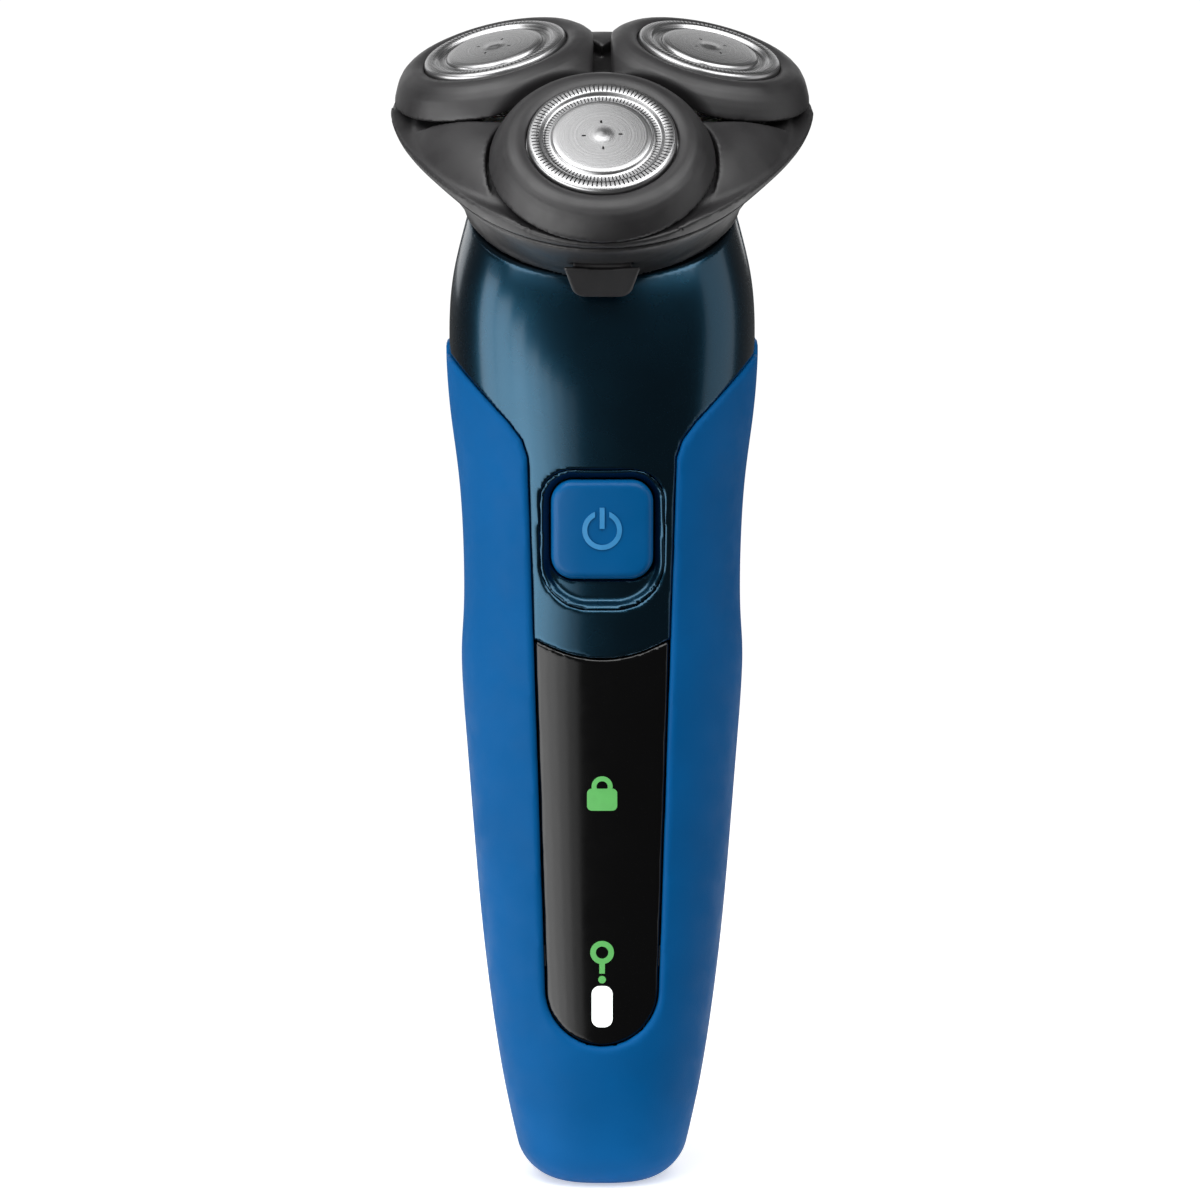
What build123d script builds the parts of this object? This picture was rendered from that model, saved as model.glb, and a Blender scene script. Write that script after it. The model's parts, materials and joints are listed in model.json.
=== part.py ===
"""A cordless rotary shaver with three tilting heads, standing upright on the flat foot of its handle.

Millimetres. +Z is up, the front of the handle faces -Y, and the origin is the centre of the flat foot.
The shaving unit leans forward: its own frame has its origin where the unit's floor sits on the neck.
"""
import os
from math import acos, cos, degrees, pi, radians, sin, tan

from build123d import *

# ---- the unit's and the heads' frames
HEAD_TILT = 27.0
NECK_Z = 142.7
POD_TILTS = (17.5, 14.5, 14.5)
POD_COUNT = len(POD_TILTS)
TIP_Z = 14.95
TIP_DEPTH = 4.5
UNIT = Location((0, 0, NECK_Z), (HEAD_TILT, 0, 0))

# ---- the handle: front y, front z, rear y, rear z and half-width of each cross-section
SECTIONS = [
    (-11.4, 0.0, 10.8, 0.0, 11.2),
    (-12.9, 12.0, 12.7, 12.0, 13.95),
    (-13.8, 24.0, 14.5, 24.0, 15.95),
    (-14.6, 40.0, 16.4, 40.0, 17.8),
    (-15.6, 60.0, 18.6, 60.0, 19.4),
    (-16.3, 76.0, 20.1, 76.0, 20.45),
    (-16.7, 85.0, 20.8, 85.0, 20.1),
    (-17.4, 100.0, 21.8, 100.0, 20.5),
    (-18.0, 110.0, 22.1, 113.0, 21.8),
    (-18.4, 118.0, 21.9, 124.0, 22.5),
    (-18.1, 125.0, 20.9, 134.0, 22.3),
    (-17.5, 130.5, 19.4, 142.0, 21.0),
    (-16.75, 134.2, 17.1, 151.3, 19.1),
    (-16.6, 137.0, 15.4, 153.4, 18.3),
]
ROUNDNESS = 2.35
SECTION_POINTS = 16
FOOT_ROUND = 5.2
GRIP_T = 1.3
SKIN_INSET = 0.5
WALL = 2.9
BORDER_Z = 122.0

# ---- the front panel
PANEL_FOOT_Z = 21.8
PANEL_FOOT_W = 8.2
PANEL_TOP_W = 10.5
PANEL_TOP_Z = 107.0
WINDOW_TOP_Z = 78.5
WINDOW_T = 1.4
BUTTON_Z = 97.0
BUTTON_W = 14.4
BUTTON_H = 14.1
BUTTON_R = 3.2
BUTTON_T = 2.2
BUTTON_TRAVEL_GAP = 0.55
BEZEL_Z = 95.55
BEZEL_W = 17.6
BEZEL_H = 19.9
BEZEL_R = 4.6
GAP = 0.3
LOCK_Z = 59.2
PLUG_Z = 34.8
BATTERY_ICON_Z = 27.8
ICON_T = 0.1

# ---- inside the handle
FRAME_Y = (-6.6, -5.4)
FRAME_Z = (22.0, 110.0)
FRAME_HALF_W = 11.2
BOARD_T = 1.2
BOARD_HALF_W = 7.1
SWITCH_SIZE = 6.0
SWITCH_T = 3.1
CELL_R = 7.0
CELL_Y = 2.4
CELL_Z = (24.6, 73.0)
TAB_T = 0.4
SCREW_X = 9.2
SCREW_Z = (34.0, 104.0)
SCREW_R = 1.1
BOSS_R = 2.1
SOCKET_Y = 3.1
SOCKET_OUT = (10.0, 6.6)
SOCKET_IN = (8.2, 4.8)
SOCKET_Z = (0.4, 11.4)
SOCKET_DEPTH = 9.0
PIN_R = 0.75
PIN_X = 2.0

# ---- motor, on the unit's axis
MOTOR_R = 9.8
MOTOR_FLAT = 7.3
MOTOR_WALL = 0.8
MOTOR_Z = (-22.5, -4.8)
MOTOR_CAP_T = 2.6
ARMATURE_R = 5.9
SHAFT_R = 1.0
BEARING_R = 2.8

# ---- neck collar and the unit's spigot
COLLAR_R = 16.9
COLLAR_T = 1.2
COLLAR_LOW_R = 14.0
COLLAR_LOW_T = 4.6
SPIGOT_R = 9.3
SPIGOT_IN_R = 7.5
SPIGOT_LEN = 3.3
SEAT_R = 9.5
SEAT_DEPTH = 3.6
SEAL_R = 3.2

# ---- the unit's bowl: height, mean radius and three-lobed swell of each level
BOWL = [(0.0, 17.9, 1.6), (1.2, 20.0, 1.9), (3.0, 22.4, 2.3), (5.0, 24.6, 2.65),
        (7.2, 26.85, 2.75), (9.4, 28.6, 2.45)]
SEAM_Z = 9.4
RIM_Z = 11.9
RIM_MEAN_R = 29.6
RIM_SWELL = 2.2
BOWL_WALL = 1.3
FLOOR_T = 1.5
BOWL_POINTS = 24
DOME = [(27.3, 11.3), (24.0, 14.9), (18.0, 17.1)]

# ---- gear train
MODULE = 0.5
CENTRAL_TEETH = 28
DRIVE_TEETH = 38
BACKLASH = 0.09
GEAR_Z = (6.6, 8.4)
GEAR_CENTRES = MODULE * (CENTRAL_TEETH + DRIVE_TEETH) / 2
POST_R = 1.25
POST_FIT = 0.06
POST_TOP = 4.2
HUB_R = 3.0
HUB_Z = (1.9, 9.6)
HEX_AF = 3.2
HEX_PLAY = 0.15
HEX_FLOOR = 4.7
DOG = (5.0, 1.6)
DOG_PLAY = 0.2
COVER_Z = (8.75, 9.35)

# ---- drive spindles
TIP = (4.0, 1.7, 1.6)
SPINDLE_FOOT = 6.6
SPINDLE_COLLAR = (TIP_Z - 2.5, TIP_Z - 1.9)
SPINDLE_COLLAR_R = 2.5
SPINDLE_NECK_R = 0.75
SPRING_R = 2.1
SPRING_WIRE_R = 0.2
SPRING_TURNS = 2.5

# ---- heads, in each head's own frame: z out of the shaving surface, x away from the unit's axis
RING_CROWN = [(11.2, 0.3), (12.2, 0.32), (13.1, 0.0), (13.9, -0.6), (14.55, -1.4), (15.05, -2.3)]
SKIRT_R = 15.67
SKIRT_Z = -3.8
LIP_R = 10.5
LIP_T = 0.85
POCKET_R = 11.5
SECTOR_GAP = 1.25
GUARD_TOP = [(0.0, 1.12), (0.9, 1.0), (2.8, 0.94), (6.0, 0.83), (6.7, 0.77), (7.2, 0.25), (8.2, 0.25),
             (8.5, 0.68), (9.2, 0.8), (9.75, 0.78), (10.2, 0.58), (10.35, 0.15)]
GUARD_UNDER = [(9.97, 0.0), (9.85, 0.3), (9.65, 0.42), (8.8, 0.4), (8.3, -0.12), (7.1, -0.12), (6.7, 0.38),
               (6.0, 0.45), (0.0, 0.6)]
FLANGE_R = 11.4
FLANGE_Z = (-1.3, -0.9)
FRAME_RING_Z = (-3.6, -1.35)
CUTTER_R = 9.6
CUTTER_Z = (-2.3, -1.8)
BLADES = 15
BLADE_TOP = 0.22
BLADE_TIP_R = 8.85
BLADE_SHOULDER = (7.2, -0.5)
HUB_BOTTOM = -5.3
CUTTER_HUB_R = 3.3
SLOT_W = 3.0
SLOT_TOP = -2.8
NEST_R = 16.1
NEST_Z = -4.3
NEST_TOP = 14.0
NEST_REACH = 3.0
NEST_TILT = 5.6
NEST_HOLE_R = 12.4
HEAD_HINGE = (15.67, -4.5)

# ---- lid hinge at the rear and the release tab at the front
HINGE_Y = 26.9
HINGE_R = 1.6
HINGE_PIN_R = 0.7
KNUCKLE_GAP = 0.2
KNUCKLE_X = (3.0, 7.0)
NOTCH = (15.2, 25.0, 7.2, 11.8)
RELEASE_TAB = (11.4, 7.6, 6.4, 1.2)
RELEASE_TAB_TOP = (-26.6, 135.2)
RELEASE_TAB_LEAN = 35.0
RELEASE_TAB_GAP = 0.6
TAB_PIVOT = (-24.7, 134.5)
TAB_PIVOT_R = 0.6
TAB_PIVOT_LEN = 8.0


def write(name, *shapes):
    """One file for one named piece, which may be several separate solids."""
    solids = [solid for shape in shapes for solid in shape.solids()]
    export_step(Compound(children=solids) if len(solids) > 1 else solids[0], f"parts/{name}.step")


def tube(outer, inner, low, high):
    return Pos(0, 0, (low + high) / 2) * (Cylinder(outer, high - low) - Cylinder(inner, 2 * (high - low)))


def rod(radius, low, high):
    return Pos(0, 0, (low + high) / 2) * Cylinder(radius, high - low)


def block(x, y, z):
    """A box from its two limits along each axis."""
    place = Pos((x[0] + x[1]) / 2, (y[0] + y[1]) / 2, (z[0] + z[1]) / 2)
    return place * Box(x[1] - x[0], y[1] - y[0], z[1] - z[0])


def from_front(face, low, high):
    """A flat outline drawn in x and z, made a solid between two depths y."""
    return Pos(0, high, 0) * Rot(90, 0, 0) * extrude(face, high - low)


# ---------------------------------------------------------------- the handle's outer skins

def section(front_y, front_z, rear_y, rear_z, half_w, inset):
    """A superellipse across the handle, in the plane through its front and rear points."""
    depth = ((rear_y - front_y) ** 2 + (rear_z - front_z) ** 2) ** 0.5 / 2 - inset
    tilt = degrees(acos(min(1, (rear_y - front_y) / (2 * (depth + inset)))))
    power = 2 / ROUNDNESS
    points = []
    for i in range(SECTION_POINTS):
        angle = 2 * pi * (i + 0.5) / SECTION_POINTS
        c, s = cos(angle), sin(angle)
        x = (half_w - inset) * abs(c) ** power * (1 if c > 0 else -1)
        y = depth * abs(s) ** power * (1 if s > 0 else -1)
        points.append((x, y))
    outline = Face(Wire([Spline(*points, periodic=True)]))
    return Location((0, (front_y + rear_y) / 2, (front_z + rear_z) / 2), (tilt, 0, 0)) * outline


def skin(inset):
    """The handle's full shape, inset by a wall's thickness all round and at the foot."""
    lifted = [SECTIONS[0][:1] + (inset,) + SECTIONS[0][2:3] + (inset,) + SECTIONS[0][4:]] + SECTIONS[1:]
    body = loft([section(*values, inset) for values in lifted])
    foot_edge = body.faces().sort_by(Axis.Z)[0].edges()
    return fillet(foot_edge, FOOT_ROUND - inset * 0.6)


def above_neck(level):
    """Everything above a level of the unit's own axis."""
    return UNIT * Pos(0, 0, level + 40) * Box(90, 90, 80)


def panel_outline():
    """Front view of the dark panel: a U that widens upwards and flares out to the sides."""
    flare = (24.0, 123.0)
    side = [(PANEL_FOOT_W, 30.0), (PANEL_TOP_W, PANEL_TOP_Z), (13.0, 111.8), flare, (24.0, 160.0)]
    left = [(-x, z) for x, z in reversed(side)]
    foot = ThreePointArc(left[-1], (0, PANEL_FOOT_Z), side[0])
    line = Polyline(*side, *left)
    return make_face([foot, *line.edges()])


def window_outline(gap):
    """Front view of the display window: the panel's lower part up to a hanging arc."""
    low_w = PANEL_FOOT_W - 0.15 - gap
    top_w = PANEL_FOOT_W + (PANEL_TOP_W - PANEL_FOOT_W) * 0.66 - 0.15 - gap
    top_z = WINDOW_TOP_Z + 2.6 - gap
    foot = ThreePointArc((-low_w, 30.0), (0, PANEL_FOOT_Z + 0.15 + gap), (low_w, 30.0))
    right = Line((low_w, 30.0), (top_w, top_z))
    top = ThreePointArc((top_w, top_z), (0, WINDOW_TOP_Z - gap), (-top_w, top_z))
    left = Line((-top_w, top_z), (-low_w, 30.0))
    return make_face([foot, right, top, left])


def rounded(width, height, radius, z):
    return Pos(0, z) * RectangleRounded(width, height, radius)


def socket_room(top):
    """The opening in the foot that the charging socket fills."""
    x, y = SOCKET_OUT[0] / 2 + 0.1, SOCKET_OUT[1] / 2 + 0.1
    return block((-x, x), (SOCKET_Y - y, SOCKET_Y + y), (-1, top))


def grip_sleeve(outer, under):
    """Soft sleeve round the sides, the back and the foot."""
    sleeve = outer - under
    sleeve -= from_front(panel_outline(), -40, 0)
    sleeve -= block((-40, 40), (-0.01, 40), (BORDER_Z, 170))
    return sleeve - socket_room(3)


def front_cover(hard, under, cavity):
    """Glossy front half of the casing, with the window's and the button's openings."""
    front = block((-40, 40), (-40, 0), (-1, 170))
    cover = (under & front) + (hard & from_front(panel_outline(), -40, 0))
    cover -= cavity
    cover -= above_neck(-COLLAR_T)
    cover -= socket_room(6)
    cover -= from_front(window_outline(0), -40, -6)
    return cover - from_front(rounded(BEZEL_W, BEZEL_H, BEZEL_R, BEZEL_Z), -40, -6)


def rear_shell(hard, under, cavity):
    """Back half of the casing, with the screw bosses."""
    rear = block((-40, 40), (0, 40), (-1, 170))
    top = block((-40, 40), (0, 40), (BORDER_Z, 170))
    shell = (under & rear) + (hard & top)
    shell -= cavity
    for x in (-SCREW_X, SCREW_X):
        for z in SCREW_Z:
            boss = rod(BOSS_R, FRAME_Y[1], 22) - rod(SCREW_R, FRAME_Y[1] - 1, 8)
            shell += Pos(x, 0, z) * Rot(-90, 0, 0) * boss & skin(WALL - 0.4)
    shell -= above_neck(-COLLAR_T)
    return shell - socket_room(6)


def on_front(face, near, far):
    """A flat outline laid on the curved front, between two insets of the skin."""
    return (from_front(face, -40, -6) & near) - far


def bezel():
    ring = rounded(BEZEL_W - 0.1, BEZEL_H - 0.1, BEZEL_R, BEZEL_Z)
    ring -= rounded(BUTTON_W + 2 * GAP, BUTTON_H + 2 * GAP, BUTTON_R + GAP, BUTTON_Z)
    return on_front(ring, skin(GRIP_T), skin(WALL))


def power_button():
    cap = on_front(rounded(BUTTON_W, BUTTON_H, BUTTON_R, BUTTON_Z), skin(0.2), skin(0.2 + BUTTON_T))
    stem_end = FRAME_Y[0] - BOARD_T - SWITCH_T - BUTTON_TRAVEL_GAP
    stem = Pos(0, 0, BUTTON_Z) * Rot(-90, 0, 0) * rod(1.6, -15.6, stem_end)
    return cap + stem


def ring_face(outer, inner, z):
    return Pos(0, z) * (Circle(outer) - Circle(inner))


def power_symbol():
    """An open ring with a short bar in its gap."""
    ring = ring_face(2.8, 2.1, BUTTON_Z) - Pos(0, BUTTON_Z + 2.6) * Rectangle(2.0, 2.4)
    bar = Pos(0, BUTTON_Z + 1.7) * Rectangle(0.7, 3.0)
    return on_front(ring + bar, skin(0.2 - ICON_T), skin(0.2))


def icon(face):
    return on_front(face, skin(SKIN_INSET - ICON_T), skin(SKIN_INSET))


def lock_icon():
    body = rounded(4.3, 3.2, 0.7, LOCK_Z - 1.0)
    shackle = ring_face(1.5, 0.8, LOCK_Z + 0.9) & Pos(0, LOCK_Z + 2.0) * Rectangle(4, 2.8)
    return icon(body + shackle)


def plug_icon():
    body = ring_face(1.7, 0.9, PLUG_Z + 1.0)
    foot = Pos(0, PLUG_Z - 1.2) * Rectangle(0.8, 1.8)
    dot = Pos(0, PLUG_Z - 3.0) * Circle(0.55)
    return icon(body + foot + dot)


# ---------------------------------------------------------------- inside the handle

def inner_frame():
    """A plate behind the board with two shelves that hold the cell."""
    plate = block((-FRAME_HALF_W, FRAME_HALF_W), FRAME_Y, (30.0, FRAME_Z[1]))
    plate += block((-9.5, 9.5), FRAME_Y, (FRAME_Z[0], 30.0))
    for low, high in ((FRAME_Z[0], CELL_Z[0] - TAB_T), (CELL_Z[1] + TAB_T, CELL_Z[1] + 2.2)):
        plate += block((-6.5, 6.5), (FRAME_Y[1], CELL_Y + 5), (low, high))
    for x in (-SCREW_X, SCREW_X):
        for z in SCREW_Z:
            plate -= Pos(x, 0, z) * Rot(-90, 0, 0) * rod(SCREW_R, -20, 20)
    return plate


def circuit_board():
    front = FRAME_Y[0] - BOARD_T
    board = block((-BOARD_HALF_W, BOARD_HALF_W), (front, FRAME_Y[0]), (24.0, 108.0))
    for z, size in ((47.0, 5.0), (70.0, 4.0), (82.0, 6.0)):
        board += block((-size / 2, size / 2), (front - 1.1, front), (z - size / 2, z + size / 2))
    return board


def indicator_leds():
    front = FRAME_Y[0] - BOARD_T
    return [block((-0.8, 0.8), (front - 0.9, front), (z - 0.6, z + 0.6))
            for z in (LOCK_Z, PLUG_Z, BATTERY_ICON_Z)]


def power_switch():
    front = FRAME_Y[0] - BOARD_T
    half = SWITCH_SIZE / 2
    body = block((-half, half), (front - SWITCH_T + 0.6, front), (BUTTON_Z - half, BUTTON_Z + half))
    dome = Pos(0, 0, BUTTON_Z) * Rot(-90, 0, 0) * rod(1.5, front - SWITCH_T, front - SWITCH_T + 0.7)
    return body + dome


def battery_cell():
    can = rod(CELL_R, CELL_Z[0], CELL_Z[1] - 1.2) + rod(2.6, CELL_Z[1] - 1.2, CELL_Z[1])
    return Pos(0, CELL_Y, 0) * can


def battery_tabs():
    low = block((-3, 3), (FRAME_Y[1], CELL_Y + 3), (CELL_Z[0] - TAB_T, CELL_Z[0]))
    high = block((-2.2, 2.2), (FRAME_Y[1], CELL_Y + 2.2), (CELL_Z[1], CELL_Z[1] + TAB_T))
    return [low, high]


def housing_screws():
    """Four identical screws through the frame into the rear shell."""
    screws = []
    for x in (-SCREW_X, SCREW_X):
        for z in SCREW_Z:
            head = rod(1.8, FRAME_Y[0] - 1.2, FRAME_Y[0]) - Pos(0, 0, FRAME_Y[0] - 1.2) * Box(2.6, 0.6, 1.0)
            screws.append(Pos(x, 0, z) * Rot(-90, 0, 0) * (head + rod(SCREW_R, FRAME_Y[0], 2.0)))
    return screws


def charging_socket():
    low, high = SOCKET_Z
    outer = Pos(0, 0, low) * extrude(RectangleRounded(*SOCKET_OUT, 1.6), high - low)
    inner = Pos(0, 0, low) * extrude(RectangleRounded(*SOCKET_IN, 1.0), SOCKET_DEPTH, both=True)
    body = outer - inner
    for x in (-PIN_X, PIN_X):
        body -= Pos(x, 0, 0) * rod(PIN_R, low, high + 1)
    return Pos(0, SOCKET_Y, 0) * body


def charging_pins():
    low, high = SOCKET_Z
    tip = low + SOCKET_DEPTH - 2.6
    return [Pos(x, SOCKET_Y, 0) * fillet(rod(PIN_R, tip, high + 1.2).edges().sort_by(Axis.Z)[0], 0.4)
            for x in (-PIN_X, PIN_X)]


# ---------------------------------------------------------------- motor, in the unit's frame

def flat_sided(radius, flat, low, high):
    return rod(radius, low, high) & block((-radius - 1, radius + 1), (-flat, flat), (low, high))


def motor_can():
    low, high = MOTOR_Z
    can = flat_sided(MOTOR_R, MOTOR_FLAT, low, high)
    can -= flat_sided(MOTOR_R - MOTOR_WALL, MOTOR_FLAT - MOTOR_WALL, low - 1, high - MOTOR_WALL)
    return can - rod(BEARING_R, high - 2, high + 1)


def motor_end_cap():
    low = MOTOR_Z[0]
    cap = flat_sided(MOTOR_R, MOTOR_FLAT, low - MOTOR_CAP_T, low)
    return cap - rod(BEARING_R, low - 1.6, low + 1)


def motor_bearings():
    low, high = MOTOR_Z
    return [tube(BEARING_R, SHAFT_R + 0.05, high - 1.4, high),
            tube(BEARING_R, SHAFT_R + 0.05, low - 1.6, low)]


def motor_magnets():
    """Two curved magnets in the round sides of the can."""
    low, high = MOTOR_Z
    ring = tube(MOTOR_R - MOTOR_WALL, ARMATURE_R + 0.5, low + 4, high - 2.2)
    flat = MOTOR_FLAT - MOTOR_WALL - 1.2
    return [ring & block(side, (-flat, flat), (low, high)) for side in ((3, 12), (-12, -3))]


def armature():
    """Three wound poles on the shaft."""
    low, high = MOTOR_Z
    core = tube(2.2, SHAFT_R, low + 4.4, high - 2.6)
    for i in range(3):
        pole = block((0, ARMATURE_R - 0.8), (-0.9, 0.9), (low + 4.4, high - 2.6)) - rod(SHAFT_R, low, high)
        shoe = tube(ARMATURE_R, ARMATURE_R - 1.0, low + 4.4, high - 2.6)
        shoe &= block((2.6, 8), (-4.2, 4.2), (low, high))
        core += Rot(0, 0, 120 * i) * (pole + shoe)
    return core


def motor_shaft():
    return rod(SHAFT_R, MOTOR_Z[0] - 1.4, -1.4)


def commutator():
    return tube(2.0, SHAFT_R, MOTOR_Z[0] + 0.8, MOTOR_Z[0] + 3.4)


def drive_coupling():
    """A driving blade on a round boss."""
    boss = rod(2.4, -2.4, 0.2) - rod(SHAFT_R, -5, -1.4)
    blade = block((-DOG[0] / 2, DOG[0] / 2), (-DOG[1] / 2, DOG[1] / 2), (0.2, 3.2))
    return boss + (blade & rod(2.4, -1, 4))


def neck_collar():
    collar = rod(COLLAR_R, -COLLAR_T, 0) + rod(COLLAR_LOW_R, -COLLAR_LOW_T, -COLLAR_T)
    collar -= rod(SEAT_R, -SEAT_DEPTH, 1)
    return collar - rod(SEAL_R, -10, 0)


def shaft_seal():
    return tube(SEAL_R, SHAFT_R + 0.06, -COLLAR_LOW_T, -SEAT_DEPTH)


def neck_gasket():
    return tube(COLLAR_LOW_R + 1.0, COLLAR_LOW_R, -COLLAR_LOW_T + 0.4, -COLLAR_T - 0.4)


# ---------------------------------------------------------------- shaving unit, in the unit's frame

def lobed(mean, swell, z):
    """A three-lobed outline; its lobes lie under the three heads."""
    points = []
    for i in range(BOWL_POINTS):
        angle = 2 * pi * i / BOWL_POINTS
        radius = mean + swell * cos(3 * (angle + pi / 2))
        points.append((radius * cos(angle), radius * sin(angle)))
    return Pos(0, 0, z) * Face(Wire([Spline(*points, periodic=True)]))


def pod_place(k):
    """The k-th head's frame in the unit's; its axis passes through its spindle's tip."""
    tip = Location((GEAR_CENTRES, 0, TIP_Z), (0, POD_TILTS[k], 0))
    return Rot(0, 0, 120 * k - 90) * tip * Pos(0, 0, TIP_DEPTH)


def gear_place(k):
    return Rot(0, 0, 120 * k - 90) * Pos(GEAR_CENTRES, 0, 0)


def hinge_barrel(x_low, x_high, radius=HINGE_R):
    return Pos(0, HINGE_Y, SEAM_Z) * Rot(0, 90, 0) * rod(radius, x_low, x_high)


def rear_notch():
    half, y, low, high = NOTCH[0] / 2, NOTCH[1], NOTCH[2], NOTCH[3]
    return block((-half, half), (y, y + 10), (low, high))


def bowl_shape():
    return loft([lobed(mean, swell, z) for z, mean, swell in BOWL])


def unit_base():
    """The bowl that holds the gears, with its spigot, posts and two hinge knuckles."""
    bowl = bowl_shape()
    inside = [(z + (FLOOR_T if i == 0 else 0), mean - BOWL_WALL * 1.5, swell)
              for i, (z, mean, swell) in enumerate(BOWL) if i != 1]
    bowl -= loft([lobed(mean, swell, z) for z, mean, swell in inside])
    bowl += rod(SPIGOT_R, -SPIGOT_LEN, 0.2)
    bowl -= rod(SPIGOT_IN_R, -SPIGOT_LEN - 1, 0)
    bowl -= rod(HUB_R + 0.6, -1, FLOOR_T + 1)
    for k in range(POD_COUNT):
        bowl += gear_place(k) * rod(POST_R, FLOOR_T - 0.1, POST_TOP)
    bowl -= rear_notch()
    for side in (-1, 1):
        low, high = sorted((side * (KNUCKLE_X[0] + KNUCKLE_GAP), side * KNUCKLE_X[1]))
        arm = block((low, high), (NOTCH[1] - 1.2, HINGE_Y), (NOTCH[2] - 0.4, SEAM_Z))
        arm += hinge_barrel(low, high)
        bowl += arm & block((-20, 20), (NOTCH[1] - 1.2, 40), (0, 20))
    return bowl - hinge_barrel(-20, 20, HINGE_PIN_R)


def gear_cover():
    """A thin plate over the gears, with a hole for each hub."""
    low, high = COVER_Z
    plate = extrude(lobed(BOWL[-1][1] - 4.2, BOWL[-1][2], low), high - low)
    plate -= block((-9, 9), (NOTCH[1] - 2.0, 40), (0, 20))
    plate -= rod(HUB_R + 0.5, 0, 20)
    for k in range(POD_COUNT):
        plate -= gear_place(k) * rod(HUB_R + 0.5, 0, 20)
    return plate


def coupling_ring():
    """A bearing bush for the central gear in the floor of the bowl."""
    return tube(HUB_R + 0.6, HUB_R + 0.06, 0, FLOOR_T)


def hinge_pin():
    return hinge_barrel(-KNUCKLE_X[1], KNUCKLE_X[1], HINGE_PIN_R)


def tooth_angle(teeth, radius):
    """Half the angle that a tooth takes at a radius, by the involute."""
    pitch_r = MODULE * teeth / 2
    base_r = pitch_r * cos(radians(20))

    def involute(r):
        pressure = acos(min(1, base_r / r))
        return tan(pressure) - pressure

    half = pi / (2 * teeth) - BACKLASH / (4 * pitch_r)
    return half + involute(pitch_r) - involute(max(radius, base_r))


def gear(teeth, phase, low, high):
    """A spur gear with its first tooth at the phase angle."""
    pitch_r = MODULE * teeth / 2
    radii = (pitch_r - 1.2 * MODULE, pitch_r - 0.2 * MODULE, pitch_r + 0.4 * MODULE, pitch_r + MODULE)
    points = []
    for i in range(teeth):
        middle = phase + 2 * pi * i / teeth
        flank = [(r, tooth_angle(teeth, r)) for r in radii]
        for r, half in flank:
            points.append((r * cos(middle - half), r * sin(middle - half)))
        for r, half in reversed(flank):
            points.append((r * cos(middle + half), r * sin(middle + half)))
    return Pos(0, 0, low) * extrude(Face(Wire.make_polygon(points, close=True)), high - low)


def central_gear():
    """Driven by the blade below; its teeth drive all three spindle gears."""
    wheel = gear(CENTRAL_TEETH, 0, *GEAR_Z) + rod(HUB_R, 0.3, HUB_Z[1] - 0.6)
    slot = block((-DOG[0] / 2 - DOG_PLAY, DOG[0] / 2 + DOG_PLAY),
                 (-DOG[1] / 2 - DOG_PLAY, DOG[1] / 2 + DOG_PLAY), (0, 3.6))
    return wheel - slot


def drive_gear(k):
    """A gear with a round bore for its post and a six-sided bore for its spindle."""
    azimuth = radians(120 * k - 90)
    phase = azimuth + pi + 2 * pi / DRIVE_TEETH * (0.5 + azimuth * CENTRAL_TEETH / (2 * pi))
    wheel = gear(DRIVE_TEETH, phase, *GEAR_Z)
    wheel -= tube(GEAR_CENTRES / 2 - 0.3, HUB_R + 1.4, GEAR_Z[1] - 0.7, GEAR_Z[1] + 1)
    wheel += rod(HUB_R, *HUB_Z)
    wheel -= rod(POST_R + POST_FIT, 0, HEX_FLOOR)
    hexagon = Rot(0, 0, degrees(azimuth)) * RegularPolygon(HEX_AF / 2, 6, major_radius=False)
    wheel -= Pos(0, 0, HEX_FLOOR) * extrude(hexagon, 9)
    return Rot(0, 0, 120 * k - 90) * Pos(GEAR_CENTRES, 0, 0) * Rot(0, 0, 90 - 120 * k) * wheel


def drive_spindle():
    """A six-sided rod with a collar for its spring and a cross tip for the cutter."""
    shaft = Pos(0, 0, SPINDLE_FOOT) * extrude(
        RegularPolygon(HEX_AF / 2 - HEX_PLAY, 6, major_radius=False), SPINDLE_COLLAR[0] - SPINDLE_FOOT)
    shaft += rod(SPINDLE_COLLAR_R, *SPINDLE_COLLAR)
    shaft += rod(SPINDLE_NECK_R, SPINDLE_COLLAR[1], TIP_Z)
    tip = Pos(0, 0, TIP_Z) * Box(*TIP)
    return shaft + fillet(tip.edges().filter_by(Axis.Z), 0.5)


def spindle_spring():
    low, high = HUB_Z[1] + SPRING_WIRE_R + 0.03, SPINDLE_COLLAR[0] - SPRING_WIRE_R - 0.03
    path = Helix((high - low) / SPRING_TURNS, high - low, SPRING_R)
    profile = Plane(origin=path @ 0, z_dir=path % 0) * Circle(SPRING_WIRE_R)
    return Pos(0, 0, low) * sweep(profile, path)


def nest(k):
    """The room one head needs in the holder: upright, and tilted to its limit."""
    hinge = Pos(HEAD_HINGE[0], 0, HEAD_HINGE[1])
    upright = rod(NEST_R, NEST_Z, NEST_TOP)
    tilted = hinge * Rot(0, -NEST_TILT, 0) * hinge.inverse() * upright
    return pod_place(k) * (upright + Pos(NEST_REACH, 0, 0) * upright + tilted)


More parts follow.
